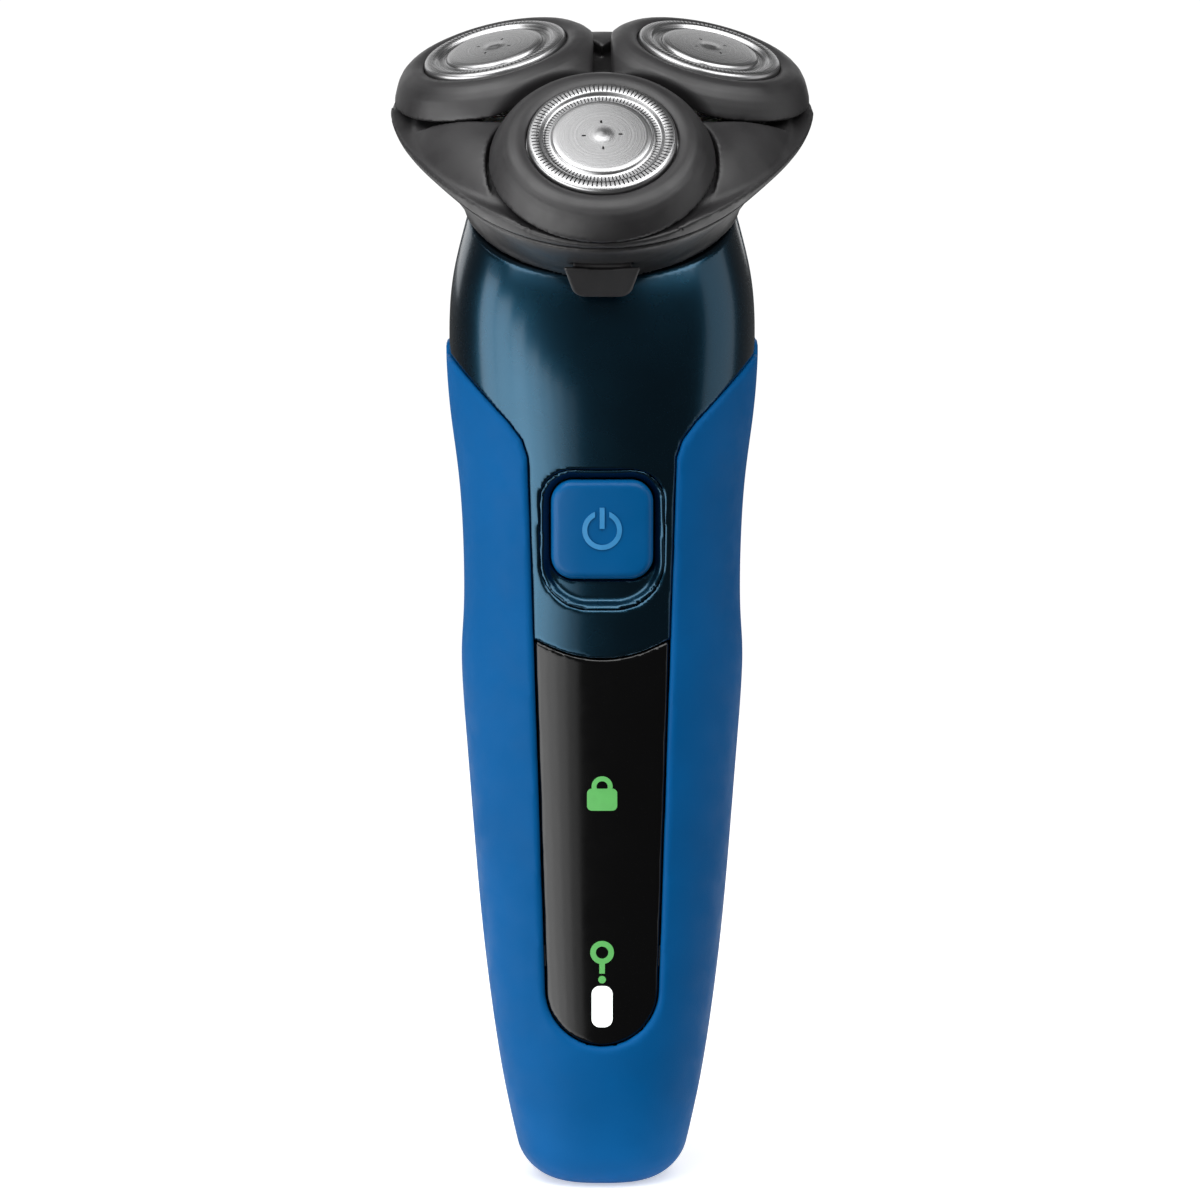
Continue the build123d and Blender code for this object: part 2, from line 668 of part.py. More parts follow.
def head_holder():
    """The lid: a rim and a web between three round nests, with the middle hinge knuckle."""
    rim = loft([lobed(BOWL[-1][1], BOWL[-1][2], SEAM_Z), lobed(RIM_MEAN_R, RIM_SWELL, RIM_Z)], ruled=True)
    (x0, z0), (x1, z1), (x2, z2) = DOME
    arch = ThreePointArc((x0, z0), (x1, z1), (x2, z2))
    outline = Polyline((x2, z2), (0, z2), (0, z0 - 0.6), (x0, z0 - 0.6), (x0, z0))
    dome = revolve(Plane.XZ * make_face([arch, *outline.edges()]), Axis.Z)
    lid = rim + dome
    for k in range(POD_COUNT):
        lid -= nest(k)
        lid -= gear_place(k) * rod(NEST_HOLE_R, 0, 40)
    lid -= rear_notch()
    arm = block((-KNUCKLE_X[0], KNUCKLE_X[0]), (NOTCH[1] - 1.5, HINGE_Y), (SEAM_Z, SEAM_Z + HINGE_R))
    lid += arm + hinge_barrel(-KNUCKLE_X[0], KNUCKLE_X[0])
    return lid - hinge_barrel(-20, 20, HINGE_PIN_R + 0.05)


def tab_barrel(radius, length):
    """The release tab's pivot, across the underside of the bowl."""
    return Pos(0, *TAB_PIVOT) * Rot(0, 90, 0) * rod(radius, -length / 2, length / 2)


def release_tab():
    """A trapezoid that hangs at the front, close under the bowl, and leans back towards the handle."""
    top_w, low_w, height, depth = RELEASE_TAB
    corners = [(-top_w / 2, 0), (top_w / 2, 0), (low_w / 2, -height), (-low_w / 2, -height)]
    plate = from_front(make_face(Polyline(*corners, close=True)), 0, depth)
    plate = fillet(plate.edges().filter_by(Axis.Y).sort_by(Axis.Z)[:2], 1.4)
    plate = Pos(0, *RELEASE_TAB_TOP) * Rot(RELEASE_TAB_LEAN, 0, 0) * plate
    plate -= UNIT * Pos(0, 0, -RELEASE_TAB_GAP) * bowl_shape()
    y, z = TAB_PIVOT
    neck = block((-TAB_PIVOT_LEN / 2, TAB_PIVOT_LEN / 2), (y - 0.3, y + 0.3), (z - 0.9, z))
    return plate + neck + tab_barrel(TAB_PIVOT_R, TAB_PIVOT_LEN)


# ---------------------------------------------------------------- heads, in each head's frame

def turned(*points):
    """A solid of revolution about z from the outline of its half-section in r and z."""
    return revolve(Plane.XZ * make_face(Polyline(*points, close=True)), Axis.Z)


def head_ring(k):
    """The dark ring round one guard; its skirt is cut back beside its neighbours."""
    ring = turned((LIP_R, 0), *RING_CROWN, (SKIRT_R - 0.15, SKIRT_Z + 0.5), (SKIRT_R, SKIRT_Z),
                  (POCKET_R, SKIRT_Z), (POCKET_R, -LIP_T), (LIP_R, -LIP_T))
    ring = pod_place(k) * ring
    for side in (-60, 60):
        beyond = Rot(0, 0, 120 * k - 90 + side) * block(
            (-60, 60), (-SECTOR_GAP, 60) if side > 0 else (-60, SECTOR_GAP), (0, 60))
        ring -= beyond
    return ring


def guard():
    """A thin cap: centre boss, plate, groove, raised track, wall and flange."""
    wall_out, wall_in = GUARD_TOP[-1][0], GUARD_UNDER[0][0]
    low, high = FLANGE_Z
    flange = [(wall_out, high), (FLANGE_R, high), (FLANGE_R, low), (wall_in, low)]
    return turned(*GUARD_TOP, *flange, *GUARD_UNDER)


def retaining_frame():
    """Ring and three spokes that press the guard into its head ring."""
    low, high = FRAME_RING_Z
    frame = tube(FLANGE_R, CUTTER_R + 0.5, low, high) + tube(4.8, CUTTER_HUB_R + 0.5, low, low + 0.8)
    for i in range(3):
        spoke = block((4.4, CUTTER_R + 1.0), (-0.8, 0.8), (low, low + 0.8))
        frame += Rot(0, 0, 120 * i + 60) * spoke
    return frame


def cutter():
    """A slotted hub, a plate and a ring of upright blades."""
    plate = rod(CUTTER_R, *CUTTER_Z) - tube(7.0, 4.2, CUTTER_Z[0] - 1, CUTTER_Z[1] + 1)
    for i in range(5):
        plate += Rot(0, 0, 72 * i) * block((3.6, 7.4), (-0.7, 0.7), CUTTER_Z)
    foot_r, shoulder = BLADE_SHOULDER
    for i in range(BLADES):
        blade = block((foot_r, CUTTER_R), (-0.2, 0.2), (CUTTER_Z[1] - 0.1, shoulder))
        blade += block((BLADE_TIP_R, CUTTER_R), (-0.2, 0.2), (shoulder - 0.1, BLADE_TOP))
        plate += Rot(0, 0, 360 / BLADES * i) * blade & rod(CUTTER_R, -5, 5)
    plate += rod(CUTTER_HUB_R, HUB_BOTTOM, CUTTER_Z[1])
    return plate - block((-5, 5), (-SLOT_W / 2, SLOT_W / 2), (HUB_BOTTOM - 1, SLOT_TOP))


def handle_pieces():
    outer, hard, under, cavity = skin(0), skin(SKIN_INSET), skin(GRIP_T), skin(WALL)
    write("grip_sleeve", grip_sleeve(outer, under))
    write("front_cover", front_cover(hard, under, cavity))
    write("rear_shell", rear_shell(hard, under, cavity))
    write("display_window", on_front(window_outline(0.05), hard, skin(SKIN_INSET + WINDOW_T)))
    write("button_bezel", bezel())
    write("power_button", power_button())
    write("power_symbol", power_symbol())
    write("lock_icon", lock_icon())
    write("plug_icon", plug_icon())
    write("battery_icon", icon(rounded(3.0, 6.1, 1.2, BATTERY_ICON_Z)))
    write("inner_frame", inner_frame())
    write("circuit_board", circuit_board())
    write("indicator_leds", *indicator_leds())
    write("power_switch", power_switch())
    write("battery_cell", battery_cell())
    write("battery_tabs", *battery_tabs())
    write("housing_screws", *housing_screws())
    write("charging_socket", charging_socket())
    write("charging_pins", *charging_pins())


def neck_pieces():
    """Everything on the unit's axis that stays with the handle."""
    write("motor_can", UNIT * motor_can())
    write("motor_end_cap", UNIT * motor_end_cap())
    write("motor_magnets", *[UNIT * piece for piece in motor_magnets()])
    write("motor_bearings", *[UNIT * piece for piece in motor_bearings()])
    write("motor_shaft", UNIT * motor_shaft())
    write("armature", UNIT * armature())
    write("commutator", UNIT * commutator())
    write("drive_coupling", UNIT * drive_coupling())
    write("neck_collar", UNIT * neck_collar())
    write("shaft_seal", UNIT * shaft_seal())
    write("neck_gasket", UNIT * neck_gasket())


def unit_pieces():
    write("unit_base", UNIT * unit_base() - tab_barrel(TAB_PIVOT_R + 0.15, TAB_PIVOT_LEN + 0.4))
    write("gear_cover", UNIT * gear_cover())
    write("coupling_ring", UNIT * coupling_ring())
    write("hinge_pin", UNIT * hinge_pin())
    write("central_gear", UNIT * central_gear())
    write("head_holder", UNIT * head_holder())
    write("release_tab", release_tab())
    for k in range(POD_COUNT):
        write(f"drive_gear_{k + 1}", UNIT * drive_gear(k))
        write(f"drive_spindle_{k + 1}", UNIT * gear_place(k) * drive_spindle())
        write(f"spindle_spring_{k + 1}", UNIT * gear_place(k) * spindle_spring())


def head_pieces():
    for k in range(POD_COUNT):
        place = UNIT * pod_place(k)
        write(f"head_ring_{k + 1}", UNIT * head_ring(k))
        write(f"guard_{k + 1}", place * guard())
        write(f"retaining_frame_{k + 1}", place * retaining_frame())
        write(f"cutter_{k + 1}", place * cutter())


def main():
    os.makedirs("parts", exist_ok=True)
    handle_pieces()
    neck_pieces()
    unit_pieces()
    head_pieces()


main()
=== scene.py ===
"""Looks of the three-head rotary shaver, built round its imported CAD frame.

Shapes are worked out in millimetres, as signed distances that are negative inside a piece, and turned
into smooth meshes. MM brings them to metres. The unit's and the heads' places come from the joints.
"""
import functools
import json
import math

import bmesh
import bpy
import numpy as np
from mathutils import Matrix, Vector


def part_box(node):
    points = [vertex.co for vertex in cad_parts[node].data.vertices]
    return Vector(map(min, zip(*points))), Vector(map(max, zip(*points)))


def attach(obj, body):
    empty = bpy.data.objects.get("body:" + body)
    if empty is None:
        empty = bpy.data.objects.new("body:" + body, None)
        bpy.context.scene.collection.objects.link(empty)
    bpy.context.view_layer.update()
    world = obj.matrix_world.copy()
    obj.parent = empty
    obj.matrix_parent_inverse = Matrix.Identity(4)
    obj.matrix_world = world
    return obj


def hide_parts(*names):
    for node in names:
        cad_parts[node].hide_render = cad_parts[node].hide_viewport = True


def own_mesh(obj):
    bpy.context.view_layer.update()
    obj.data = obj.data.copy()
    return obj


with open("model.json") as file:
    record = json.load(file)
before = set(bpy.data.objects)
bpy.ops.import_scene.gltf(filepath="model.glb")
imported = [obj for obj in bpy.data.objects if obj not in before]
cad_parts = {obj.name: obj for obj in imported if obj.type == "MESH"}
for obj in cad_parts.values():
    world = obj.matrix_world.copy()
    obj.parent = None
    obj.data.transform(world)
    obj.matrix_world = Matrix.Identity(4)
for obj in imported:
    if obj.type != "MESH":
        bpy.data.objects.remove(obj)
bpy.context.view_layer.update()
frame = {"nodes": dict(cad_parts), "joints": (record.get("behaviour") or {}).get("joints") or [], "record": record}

MM = 0.001
HEADS = (1, 2, 3)
JOINTS = {joint["name"]: joint for joint in frame["joints"]}

# ---- the handle: front y, front z, rear y, rear z and half-width of each cross-section
SECTIONS = np.array([
    (-11.4, 0.0, 10.8, 0.0, 11.2),
    (-12.9, 12.0, 12.7, 12.0, 13.95),
    (-13.8, 24.0, 14.5, 24.0, 15.95),
    (-14.6, 40.0, 16.4, 40.0, 17.8),
    (-15.6, 60.0, 18.6, 60.0, 19.4),
    (-16.3, 76.0, 20.1, 76.0, 20.45),
    (-16.7, 85.0, 20.8, 85.0, 20.1),
    (-17.4, 100.0, 21.8, 100.0, 20.5),
    (-18.0, 110.0, 22.1, 113.0, 21.8),
    (-18.4, 118.0, 21.9, 124.0, 22.5),
    (-18.1, 125.0, 20.9, 134.0, 22.3),
    (-17.5, 130.5, 19.4, 142.0, 21.0),
    (-16.75, 134.2, 17.1, 151.3, 19.1),
    (-16.6, 137.0, 15.4, 153.4, 18.3),
])
ROUNDNESS = 2.35
FOOT_ROUND = 5.2
GRIP_T = 1.3
SKIN_INSET = 0.5
WINDOW_INSET = 0.58
WALL = 2.9
SEAM = 0.06

# ---- the front panel
BORDER = (  # height and half-width of the dark panel inside the grip
    (20.0, 8.0), (30.0, 8.2), (107.0, 10.5), (109.5, 11.3), (112.0, 13.2), (122.5, 23.4), (124.5, 40.0))
BORDER_WRAP = 1.3
PANEL_FOOT = (30.0, 8.2)  # height of its centre, radius
GRIP_LIP_ROUND = 0.95
WINDOW_SIDE = 0.15
WINDOW_TOP = (78.5, 2.6)  # height in the middle, rise at the sides
WINDOW_HALF_W = 9.4
BUTTON = (97.0, 14.4, 14.1, 3.2)  # height of its centre, width, height, corner radius
BUTTON_DISH = (0.25, 30)  # depth in the middle, spread
BEZEL = (95.55, 17.6, 19.9, 4.6, 6.8)  # as for the button, then the radius of the lower corners
BEZEL_SLOPE = (0.62, 1.75, 1.6)  # depth at the rim, depth of the floor, width of the slope between them
SOCKET_ROOM = (1.6, 0.12, 6)  # corner radius, gap, depth

# ---- the unit's bowl: height, mean radius and three-lobed swell of each level, then its lid
BOWL = np.array([
    (-1.4, 19.6, 0.3), (0.0, 20.2, 0.9), (1.2, 21.1, 1.4), (3.0, 22.7, 2.1), (5.0, 24.6, 2.65),
    (7.2, 26.85, 2.75), (9.4, 28.6, 2.45), (11.9, 29.6, 2.2), (13.5, 29.6, 2.1)])
SEAM_Z = 9.4
RIM_Z = 11.9
BOWL_WALL = 1.3
FLOOR_T = 1.5
DOME = ((27.3, 11.3), (24.0, 14.9), (18.0, 17.1))  # radius and height of three points of its shoulder
COLLAR_T = 1.2
LIP = (17.1, -1.1, 0.02, 0.2)  # the rim over the neck: inner radius, height, lean, gap to the casing
SPIGOT = (9.3, 7.5, -3.3)  # outer radius, inner radius, lower end
POST_R = 1.15
POST_TOP = 4.2
GEAR_CENTRES = 16.5
CENTRAL_HOLE_R = 3.6
HINGE = (26.9, 9.4, 1.6)  # y, z and radius of the lid's hinge
KNUCKLE_X = (3.0, 3.2, 7.0)  # half-width of the lid's knuckle, inner and outer end of the bowl's
NOTCH = (7.6, 25.0, 7.2, 11.8)  # half-width, least y, lower and upper height
RELEASE_TAB = (11.4, 7.6, 6.4, 1.2)  # upper width, lower width, height, thickness
RELEASE_TAB_TOP = (-26.6, 135.2)  # y and z in the row frame
RELEASE_TAB_LEAN = math.radians(35)
RELEASE_TAB_GAP = 0.6
TAB_PIVOT_R = 0.6
TAB_PIVOT_LEN = 8.0
TAB_SLIT = (134.3, 134.85, 5.4, -24.3)  # lower and upper height, half-width, greatest y: row frame

# ---- heads, in each head's own frame
POD_TILTS = [math.radians(angle) for angle in (17.5, 14.5, 14.5)]
TIP_Z = 14.95
TIP_DEPTH = 4.5
SECTOR_GAP = 1.25
NEST_R = 16.1
NEST_Z = -4.3
NEST_TILT = math.radians(5.6)
NEST_HOLE_R = 12.4
NEST_REACH = 3
HEAD_HINGE = (15.67, -4.5)
RING = ((10.5, 0.0), (11.2, 0.3), (12.2, 0.32), (13.1, 0.0), (13.9, -0.6), (14.55, -1.4), (15.05, -2.3),
        (15.52, -3.3), (15.67, -3.8), (11.5, -3.8), (11.5, -0.85), (10.5, -0.85))
RING_MIDDLE = 12
RING_ROUND = 0.18
RING_DROP = 0.13


# ---------------------------------------------------------------- frames from the joints

def matrix_of(x, y, z, origin):
    """A frame from its three axes and its origin."""
    columns = [Vector(axis).normalized() for axis in (x, y, z)]
    turn = Matrix(columns).transposed().to_4x4()
    return Matrix.Translation(Vector(origin)) @ turn


def unit_frame():
    """The shaving unit's frame, in metres: z along the motor's axis, origin on the neck."""
    joint = JOINTS["motor_spin"]
    z = Vector(joint["axis"])
    x = Vector((1, 0, 0))
    return matrix_of(x, z.cross(x), z, Vector(joint["pos_m"]) + 12 * MM * z)


def head_frame(k):
    """A head's frame, in metres: z out of its guard, x away from the unit's axis."""
    spin, tilt = JOINTS[f"cutter_{k}_spin"], JOINTS[f"head_{k}_tilt"]
    z, y = Vector(spin["axis"]), -Vector(tilt["axis"])
    return matrix_of(y.cross(z), y, z, Vector(spin["pos_m"]) + 2 * MM * z)


def head_angle(k):
    """Which way the k-th head lies from the unit's axis; the first is at the front."""
    return math.radians(120 * (k - 1) - 90)


def gear_centre(k):
    """Where the k-th head's gear and spindle stand, in the unit's frame: x and y."""
    return GEAR_CENTRES * math.cos(head_angle(k)), GEAR_CENTRES * math.sin(head_angle(k))


# ---------------------------------------------------------------- signed distances

def round_max(a, b, radius):
    """Where both pieces are, with the outer edge between them rounded."""
    u, v = np.maximum(a + radius, 0), np.maximum(b + radius, 0)
    return np.minimum(-radius, np.maximum(a, b)) + np.hypot(u, v)


def round_min(a, b, radius):
    """Where either piece is, with the inner corner between them filled."""
    return -round_max(-a, -b, radius)


def rounded_rectangle(x, z, centre_z, width, height, radius, low_radius=None):
    """Front view of a rounded rectangle, whose lower corners may be rounder."""
    radius = np.where(z < centre_z, low_radius or radius, radius)
    dx = np.abs(x) - width / 2 + radius
    dz = np.abs(z - centre_z) - height / 2 + radius
    return np.hypot(np.maximum(dx, 0), np.maximum(dz, 0)) + np.minimum(np.maximum(dx, dz), 0) - radius


def polygon_field(r, z, points):
    """Exact signed distance to a closed outline in r and z."""
    best = np.full(r.shape, np.inf)
    inside = np.zeros(r.shape, bool)
    for (r0, z0), (r1, z1) in zip(points, points[1:] + points[:1]):
        dr, dz = r1 - r0, z1 - z0
        t = np.clip(((r - r0) * dr + (z - z0) * dz) / (dr * dr + dz * dz), 0, 1)
        best = np.minimum(best, (r - r0 - t * dr) ** 2 + (z - z0 - t * dz) ** 2)
        if dz:
            inside ^= ((z0 > z) != (z1 > z)) & (r < r0 + (z - z0) * dr / dz)
    return np.where(inside, -1, 1) * np.sqrt(best)


def spline_table(values, steps):
    """A smooth curve through rows of values, sampled evenly between each pair of rows."""
    n = len(values)
    system = np.eye(n)
    right = np.zeros_like(values)
    for i in range(1, n - 1):
        system[i, i - 1:i + 2] = (1, 4, 1)
        right[i] = 6 * (values[i - 1] - 2 * values[i] + values[i + 1])
    bend = np.linalg.solve(system, right)
    rows = []
    for i in range(n - 1):
        for t in np.linspace(0, 1, steps, endpoint=False):
            s = 1 - t
            rows.append(s * values[i] + t * values[i + 1]
                        + ((s ** 3 - s) * bend[i] + (t ** 3 - t) * bend[i + 1]) / 6)
    rows.append(values[-1])
    return np.array(rows)


class Handle:
    """The handle's full shape: a stack of superellipses whose planes lean over towards the neck."""

    Y0, Z0, STEP, NY, NZ = -30.0, -8.0, 0.5, 121, 337

    def __init__(self):
        table = spline_table(SECTIONS, 24)
        front_y, front_z, rear_y, rear_z, self.half_w = table.T
        self.centre = np.stack([(front_y + rear_y) / 2, (front_z + rear_z) / 2])
        along = np.stack([rear_y - front_y, rear_z - front_z])
        length = np.hypot(*along)
        self.depth = length / 2
        self.along = along / length
        self.row = np.arange(len(table), dtype=float)
        lean = (rear_z - front_z) / (rear_y - front_y)
        ys = self.Y0 + self.STEP * np.arange(self.NY)
        zs = self.Z0 + self.STEP * np.arange(self.NZ)
        self.rows = np.stack([np.interp(zs, front_z + (y - front_y) * lean, self.row) for y in ys])

    def row_at(self, y, z):
        """Which section a point lies in, from the table."""
        i = np.clip((y - self.Y0) / self.STEP, 0, self.NY - 1.001)
        j = np.clip((z - self.Z0) / self.STEP, 0, self.NZ - 1.001)
        i0, j0 = i.astype(int), j.astype(int)
        u, v = i - i0, j - j0
        rows = self.rows
        return ((1 - u) * ((1 - v) * rows[i0, j0] + v * rows[i0, j0 + 1])
                + u * ((1 - v) * rows[i0 + 1, j0] + v * rows[i0 + 1, j0 + 1]))

    def field(self, x, y, z):
        """Signed distance, close to the surface, with the foot's edge rounded."""
        row = self.row_at(y, z)
        half_w, depth, centre_y, centre_z, along_y, along_z = (
            np.interp(row, self.row, values)
            for values in (self.half_w, self.depth, *self.centre, *self.along))
        s = (y - centre_y) * along_y + (z - centre_z) * along_z
        share = (np.abs(x / half_w) ** ROUNDNESS + np.abs(s / depth) ** ROUNDNESS) ** (1 / ROUNDNESS)
        share = np.maximum(share, 0.05)
        side = np.hypot(x, s) * (1 - 1 / share)
        return round_max(side, -z, FOOT_ROUND)


HANDLE = Handle()
NECK = unit_frame()
TO_UNIT = np.array(NECK.inverted())


def into_unit(x, y, z):
    """Points of the row frame in the unit's frame, both in millimetres."""
    m = TO_UNIT
    return tuple(m[i, 0] * x + m[i, 1] * y + m[i, 2] * z + m[i, 3] / MM for i in range(3))


def out_of_unit(y, z):
    """Row-frame y and z of points of the unit's frame, which leans about X."""
    m = np.array(NECK)
    return tuple(m[i, 1] * y + m[i, 2] * z + m[i, 3] / MM for i in (1, 2))


def border(x, y, z):
    """Distance to the edge between the dark panel, where it is negative, and the soft grip."""
    heights, widths = np.array(BORDER).T
    reach = np.abs(x) + BORDER_WRAP * np.maximum(y, 0)
    width = np.interp(z, heights, widths)
    slope = np.interp(z + 0.5, heights, widths) - np.interp(z - 0.5, heights, widths)
    side = (reach - width) / np.hypot(1, slope)
    foot_z, foot_r = PANEL_FOOT
    foot = np.hypot(reach, z - foot_z) - foot_r
    return np.where(z < foot_z, foot, side)


def window_field(x, z):
    """Front view of the display window."""
    heights, widths = np.array(BORDER[1:3]).T
    side = np.abs(x) - np.interp(z, heights, widths) + WINDOW_SIDE
    foot_z, foot_r = PANEL_FOOT
    foot = np.hypot(x, z - foot_z) - foot_r + WINDOW_SIDE
    top_z, rise = WINDOW_TOP
    top = z - top_z - rise * (x / WINDOW_HALF_W) ** 2
    return round_max(np.where(z < foot_z, foot, side), top, 0.6)


def grip_field(x, y, z):
    """The soft sleeve round the sides and foot, with a rounded lip along its border."""
    body = HANDLE.field(x, y, z)
    skin = round_max(body, -border(x, y, z), GRIP_LIP_ROUND)
    return np.maximum.reduce([skin, -body - GRIP_T, -socket_room(x, y, z)])


def socket_room(x, y, z):
    """The opening in the foot for the charging socket, from its CAD box."""
    low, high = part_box("charging_socket")
    radius, gap, depth = SOCKET_ROOM
    middle = [(a + b) / 2 / MM for a, b in zip(low, high)]
    half = [(b - a) / 2 / MM + gap for a, b in zip(low, high)]
    dx = np.abs(x - middle[0]) - half[0] + radius
    dy = np.abs(y - middle[1]) - half[1] + radius
    flat = np.hypot(np.maximum(dx, 0), np.maximum(dy, 0)) + np.minimum(np.maximum(dx, dy), 0) - radius
    return np.maximum(flat, z - depth)


def casing_field(x, y, z):
    """The glossy casing where it shows, a little under the grip's lip."""
    body = HANDLE.field(x, y, z)
    top = into_unit(x, y, z)[2] + COLLAR_T
    shell = round_max(body + SKIN_INSET, top, 0.35)
    shell = np.maximum(shell, -body - WALL + 0.3)
    return round_max(shell, border(x, y, z) + SEAM, 0.2)


def front_cover_field(x, y, z):
    """The front half of the casing, open for the window and the button's recess."""
    shell = round_max(casing_field(x, y, z), y + SEAM, 0.15)
    shell = round_max(shell, -window_field(x, z) + 0.05, 0.3)
    return round_max(shell, -rounded_rectangle(x, z, *BEZEL), 0.3)


def rear_shell_field(x, y, z):
    """The rear half of the casing."""
    return round_max(casing_field(x, y, z), -y + SEAM, 0.15)


def window_piece_field(x, y, z):
    """The display window, let into the front cover."""
    body = HANDLE.field(x, y, z)
    plate = round_max(body + WINDOW_INSET, window_field(x, z) + 0.06, 0.3)
    return np.maximum(plate, -body - 2.0)


def bezel_field(x, y, z):
    """The recess round the button: a soft slope down from its rim to its floor."""
    body = HANDLE.field(x, y, z)
    rim, floor, width = BEZEL_SLOPE
    edge = rounded_rectangle(x, z, *BEZEL)
    share = np.clip(-edge / width, 0, 1)
    dip = rim + (floor - rim) * share ** 2 * (3 - 2 * share)
    plate = np.maximum(body + dip, -body - WALL)
    plate = np.maximum(plate, edge + 0.05)
    centre_z, width, height, radius = BUTTON
    hole = rounded_rectangle(x, z, centre_z, width + 0.5, height + 0.5, radius + 0.25)
    return round_max(plate, -hole, 0.2)


def button_field(x, y, z):
    """A cushioned cap, very slightly dished in its middle."""
    body = HANDLE.field(x, y, z)
    depth, width = BUTTON_DISH
    dish = depth * np.exp(-(x ** 2 + (z - BUTTON[0]) ** 2) / width)
    cap = round_max(body + dish, rounded_rectangle(x, z, *BUTTON), 1.1)
    return np.maximum(cap, -body - 2.4)


# ---------------------------------------------------------------- the unit, in its own frame

def lobed_field(x, y, z, inset=0.0):
    """The bowl's three-lobed side, as a distance corrected for its slope."""
    fine = spline_table(BOWL, 8)
    mean = np.interp(z, fine[:, 0], fine[:, 1])
    swell = np.interp(z, fine[:, 0], fine[:, 2])
    above, below = (np.interp(level, fine[:, 0], fine[:, 1]) for level in (z + 0.3, z - 0.3))
    slope = (above - below) / 0.6
    angle = np.arctan2(y, x)
    radius = mean + swell * np.cos(3 * (angle + math.pi / 2))
    return (np.hypot(x, y) - radius) / np.hypot(1, slope) + inset


def hinge_knuckle(x, y, z, low, high, toward):
    """A barrel about the lid's hinge axis, with an arm to the wall above or below."""
    hinge_y, hinge_z, radius = HINGE
    barrel = np.hypot(y - hinge_y, z - hinge_z) - radius
    arm = np.maximum(np.abs(z - hinge_z - toward * 0.8) - 0.8, np.abs(y - hinge_y + 1.6) - 1.6)
    return round_max(np.minimum(barrel, arm), np.abs(x - (low + high) / 2) - (high - low) / 2, 0.15)


def rear_notch(x, y, z):
    """Room for the lid's hinge at the back."""
    half, deep, low, high = NOTCH
    return np.maximum.reduce([np.abs(x) - half, deep - y, low - z, z - high])


def unit_base_field(x, y, z):
    """The bowl, its lip over the neck, its spigot, posts, slit and hinge knuckles."""
    bowl = round_max(lobed_field(x, y, z), z - SEAM_Z + SEAM, 0.45)
    lip_r, lip_z, lean, gap = LIP
    bowl = round_max(bowl, lip_z + lean * y - z, 0.3)
    row_y, row_z = out_of_unit(y, z)
    neck = np.maximum(HANDLE.field(x, row_y, row_z) + SKIN_INSET, z + COLLAR_T)
    bowl = np.maximum(bowl, gap - neck)
    hollow = np.maximum(lobed_field(x, y, z, BOWL_WALL), FLOOR_T - z)
    bowl = round_max(bowl, -hollow, 0.3)
    outer_r, inner_r, low = SPIGOT
    radius = np.hypot(x, y)
    bowl = round_max(bowl, -np.maximum(radius - lip_r, z), 0.15)
    spigot = np.maximum.reduce([radius - outer_r, inner_r - radius, low - z, z - 0.8])
    bowl = np.minimum(bowl, spigot)
    bowl = np.maximum(bowl, CENTRAL_HOLE_R - radius)
    for k in HEADS:
        gear_x, gear_y = gear_centre(k)
        post = np.hypot(x - gear_x, y - gear_y) - POST_R
        bowl = np.minimum(bowl, np.maximum.reduce([post, z - POST_TOP, 0.5 - z]))
    bowl = round_max(bowl, -rear_notch(x, y, z), 0.2)
    low, high, half, deep = TAB_SLIT
    slit = np.maximum.reduce([low - row_z, row_z - high, np.abs(x) - half, row_y - deep])
    bowl = round_max(bowl, -slit, 0.12)
    pivot_y, pivot_z = tab_pivot()
    groove = np.hypot(y - pivot_y, z - pivot_z) - TAB_PIVOT_R - 0.15
    groove = np.maximum(groove, np.abs(x) - TAB_PIVOT_LEN / 2 - 0.2)
    bowl = np.maximum(bowl, -groove)
    _, inner, outer = KNUCKLE_X
    for low_x, high_x in ((inner, outer), (-outer, -inner)):
        bowl = np.minimum(bowl, hinge_knuckle(x, y, z, low_x, high_x, -1))
    return bowl


def tab_pivot():
    """The release tab's pivot in the unit's frame: y and z."""
    place = NECK.inverted() @ Vector(JOINTS["tab_press"]["pos_m"]) / MM
    return place.y, place.z


def release_tab_field(x, y, z):
    """A leaning trapezoid with eased edges, close under the bowl, on a barrel across its top."""
    top_w, low_w, height, thick = RELEASE_TAB
    row_y, row_z = out_of_unit(y, z)
    above = row_z - TAB_SLIT[0]
    row_y, row_z = row_y - RELEASE_TAB_TOP[0], row_z - RELEASE_TAB_TOP[1]
    c, s = math.cos(RELEASE_TAB_LEAN), math.sin(RELEASE_TAB_LEAN)
    deep, up = row_y * c + row_z * s, -row_y * s + row_z * c
    slope = (top_w - low_w) / 2 / height
    side = (np.abs(x) - top_w / 2 - up * slope) / math.hypot(1, slope)
    face = round_max(round_max(side, -height - up, 1.4), above, 0.15)
    plate = round_max(face, np.abs(deep - thick / 2) - thick / 2, 0.35)
    plate = round_max(plate, -lobed_field(x, y, z + RELEASE_TAB_GAP), 0.25)
    pivot_y, pivot_z = tab_pivot()
    barrel = np.maximum(np.hypot(y - pivot_y, z - pivot_z) - TAB_PIVOT_R, np.abs(x) - TAB_PIVOT_LEN / 2)
    return np.minimum(plate, barrel)


def in_head(x, y, z, k):
    """Points of the unit's frame in the k-th head's frame."""
    angle = head_angle(k)
    out = x * math.cos(angle) + y * math.sin(angle) - GEAR_CENTRES
    side = -x * math.sin(angle) + y * math.cos(angle)
    up = z - TIP_Z
    c, s = math.cos(POD_TILTS[k - 1]), math.sin(POD_TILTS[k - 1])
    return out * c - up * s, side, out * s + up * c - TIP_DEPTH


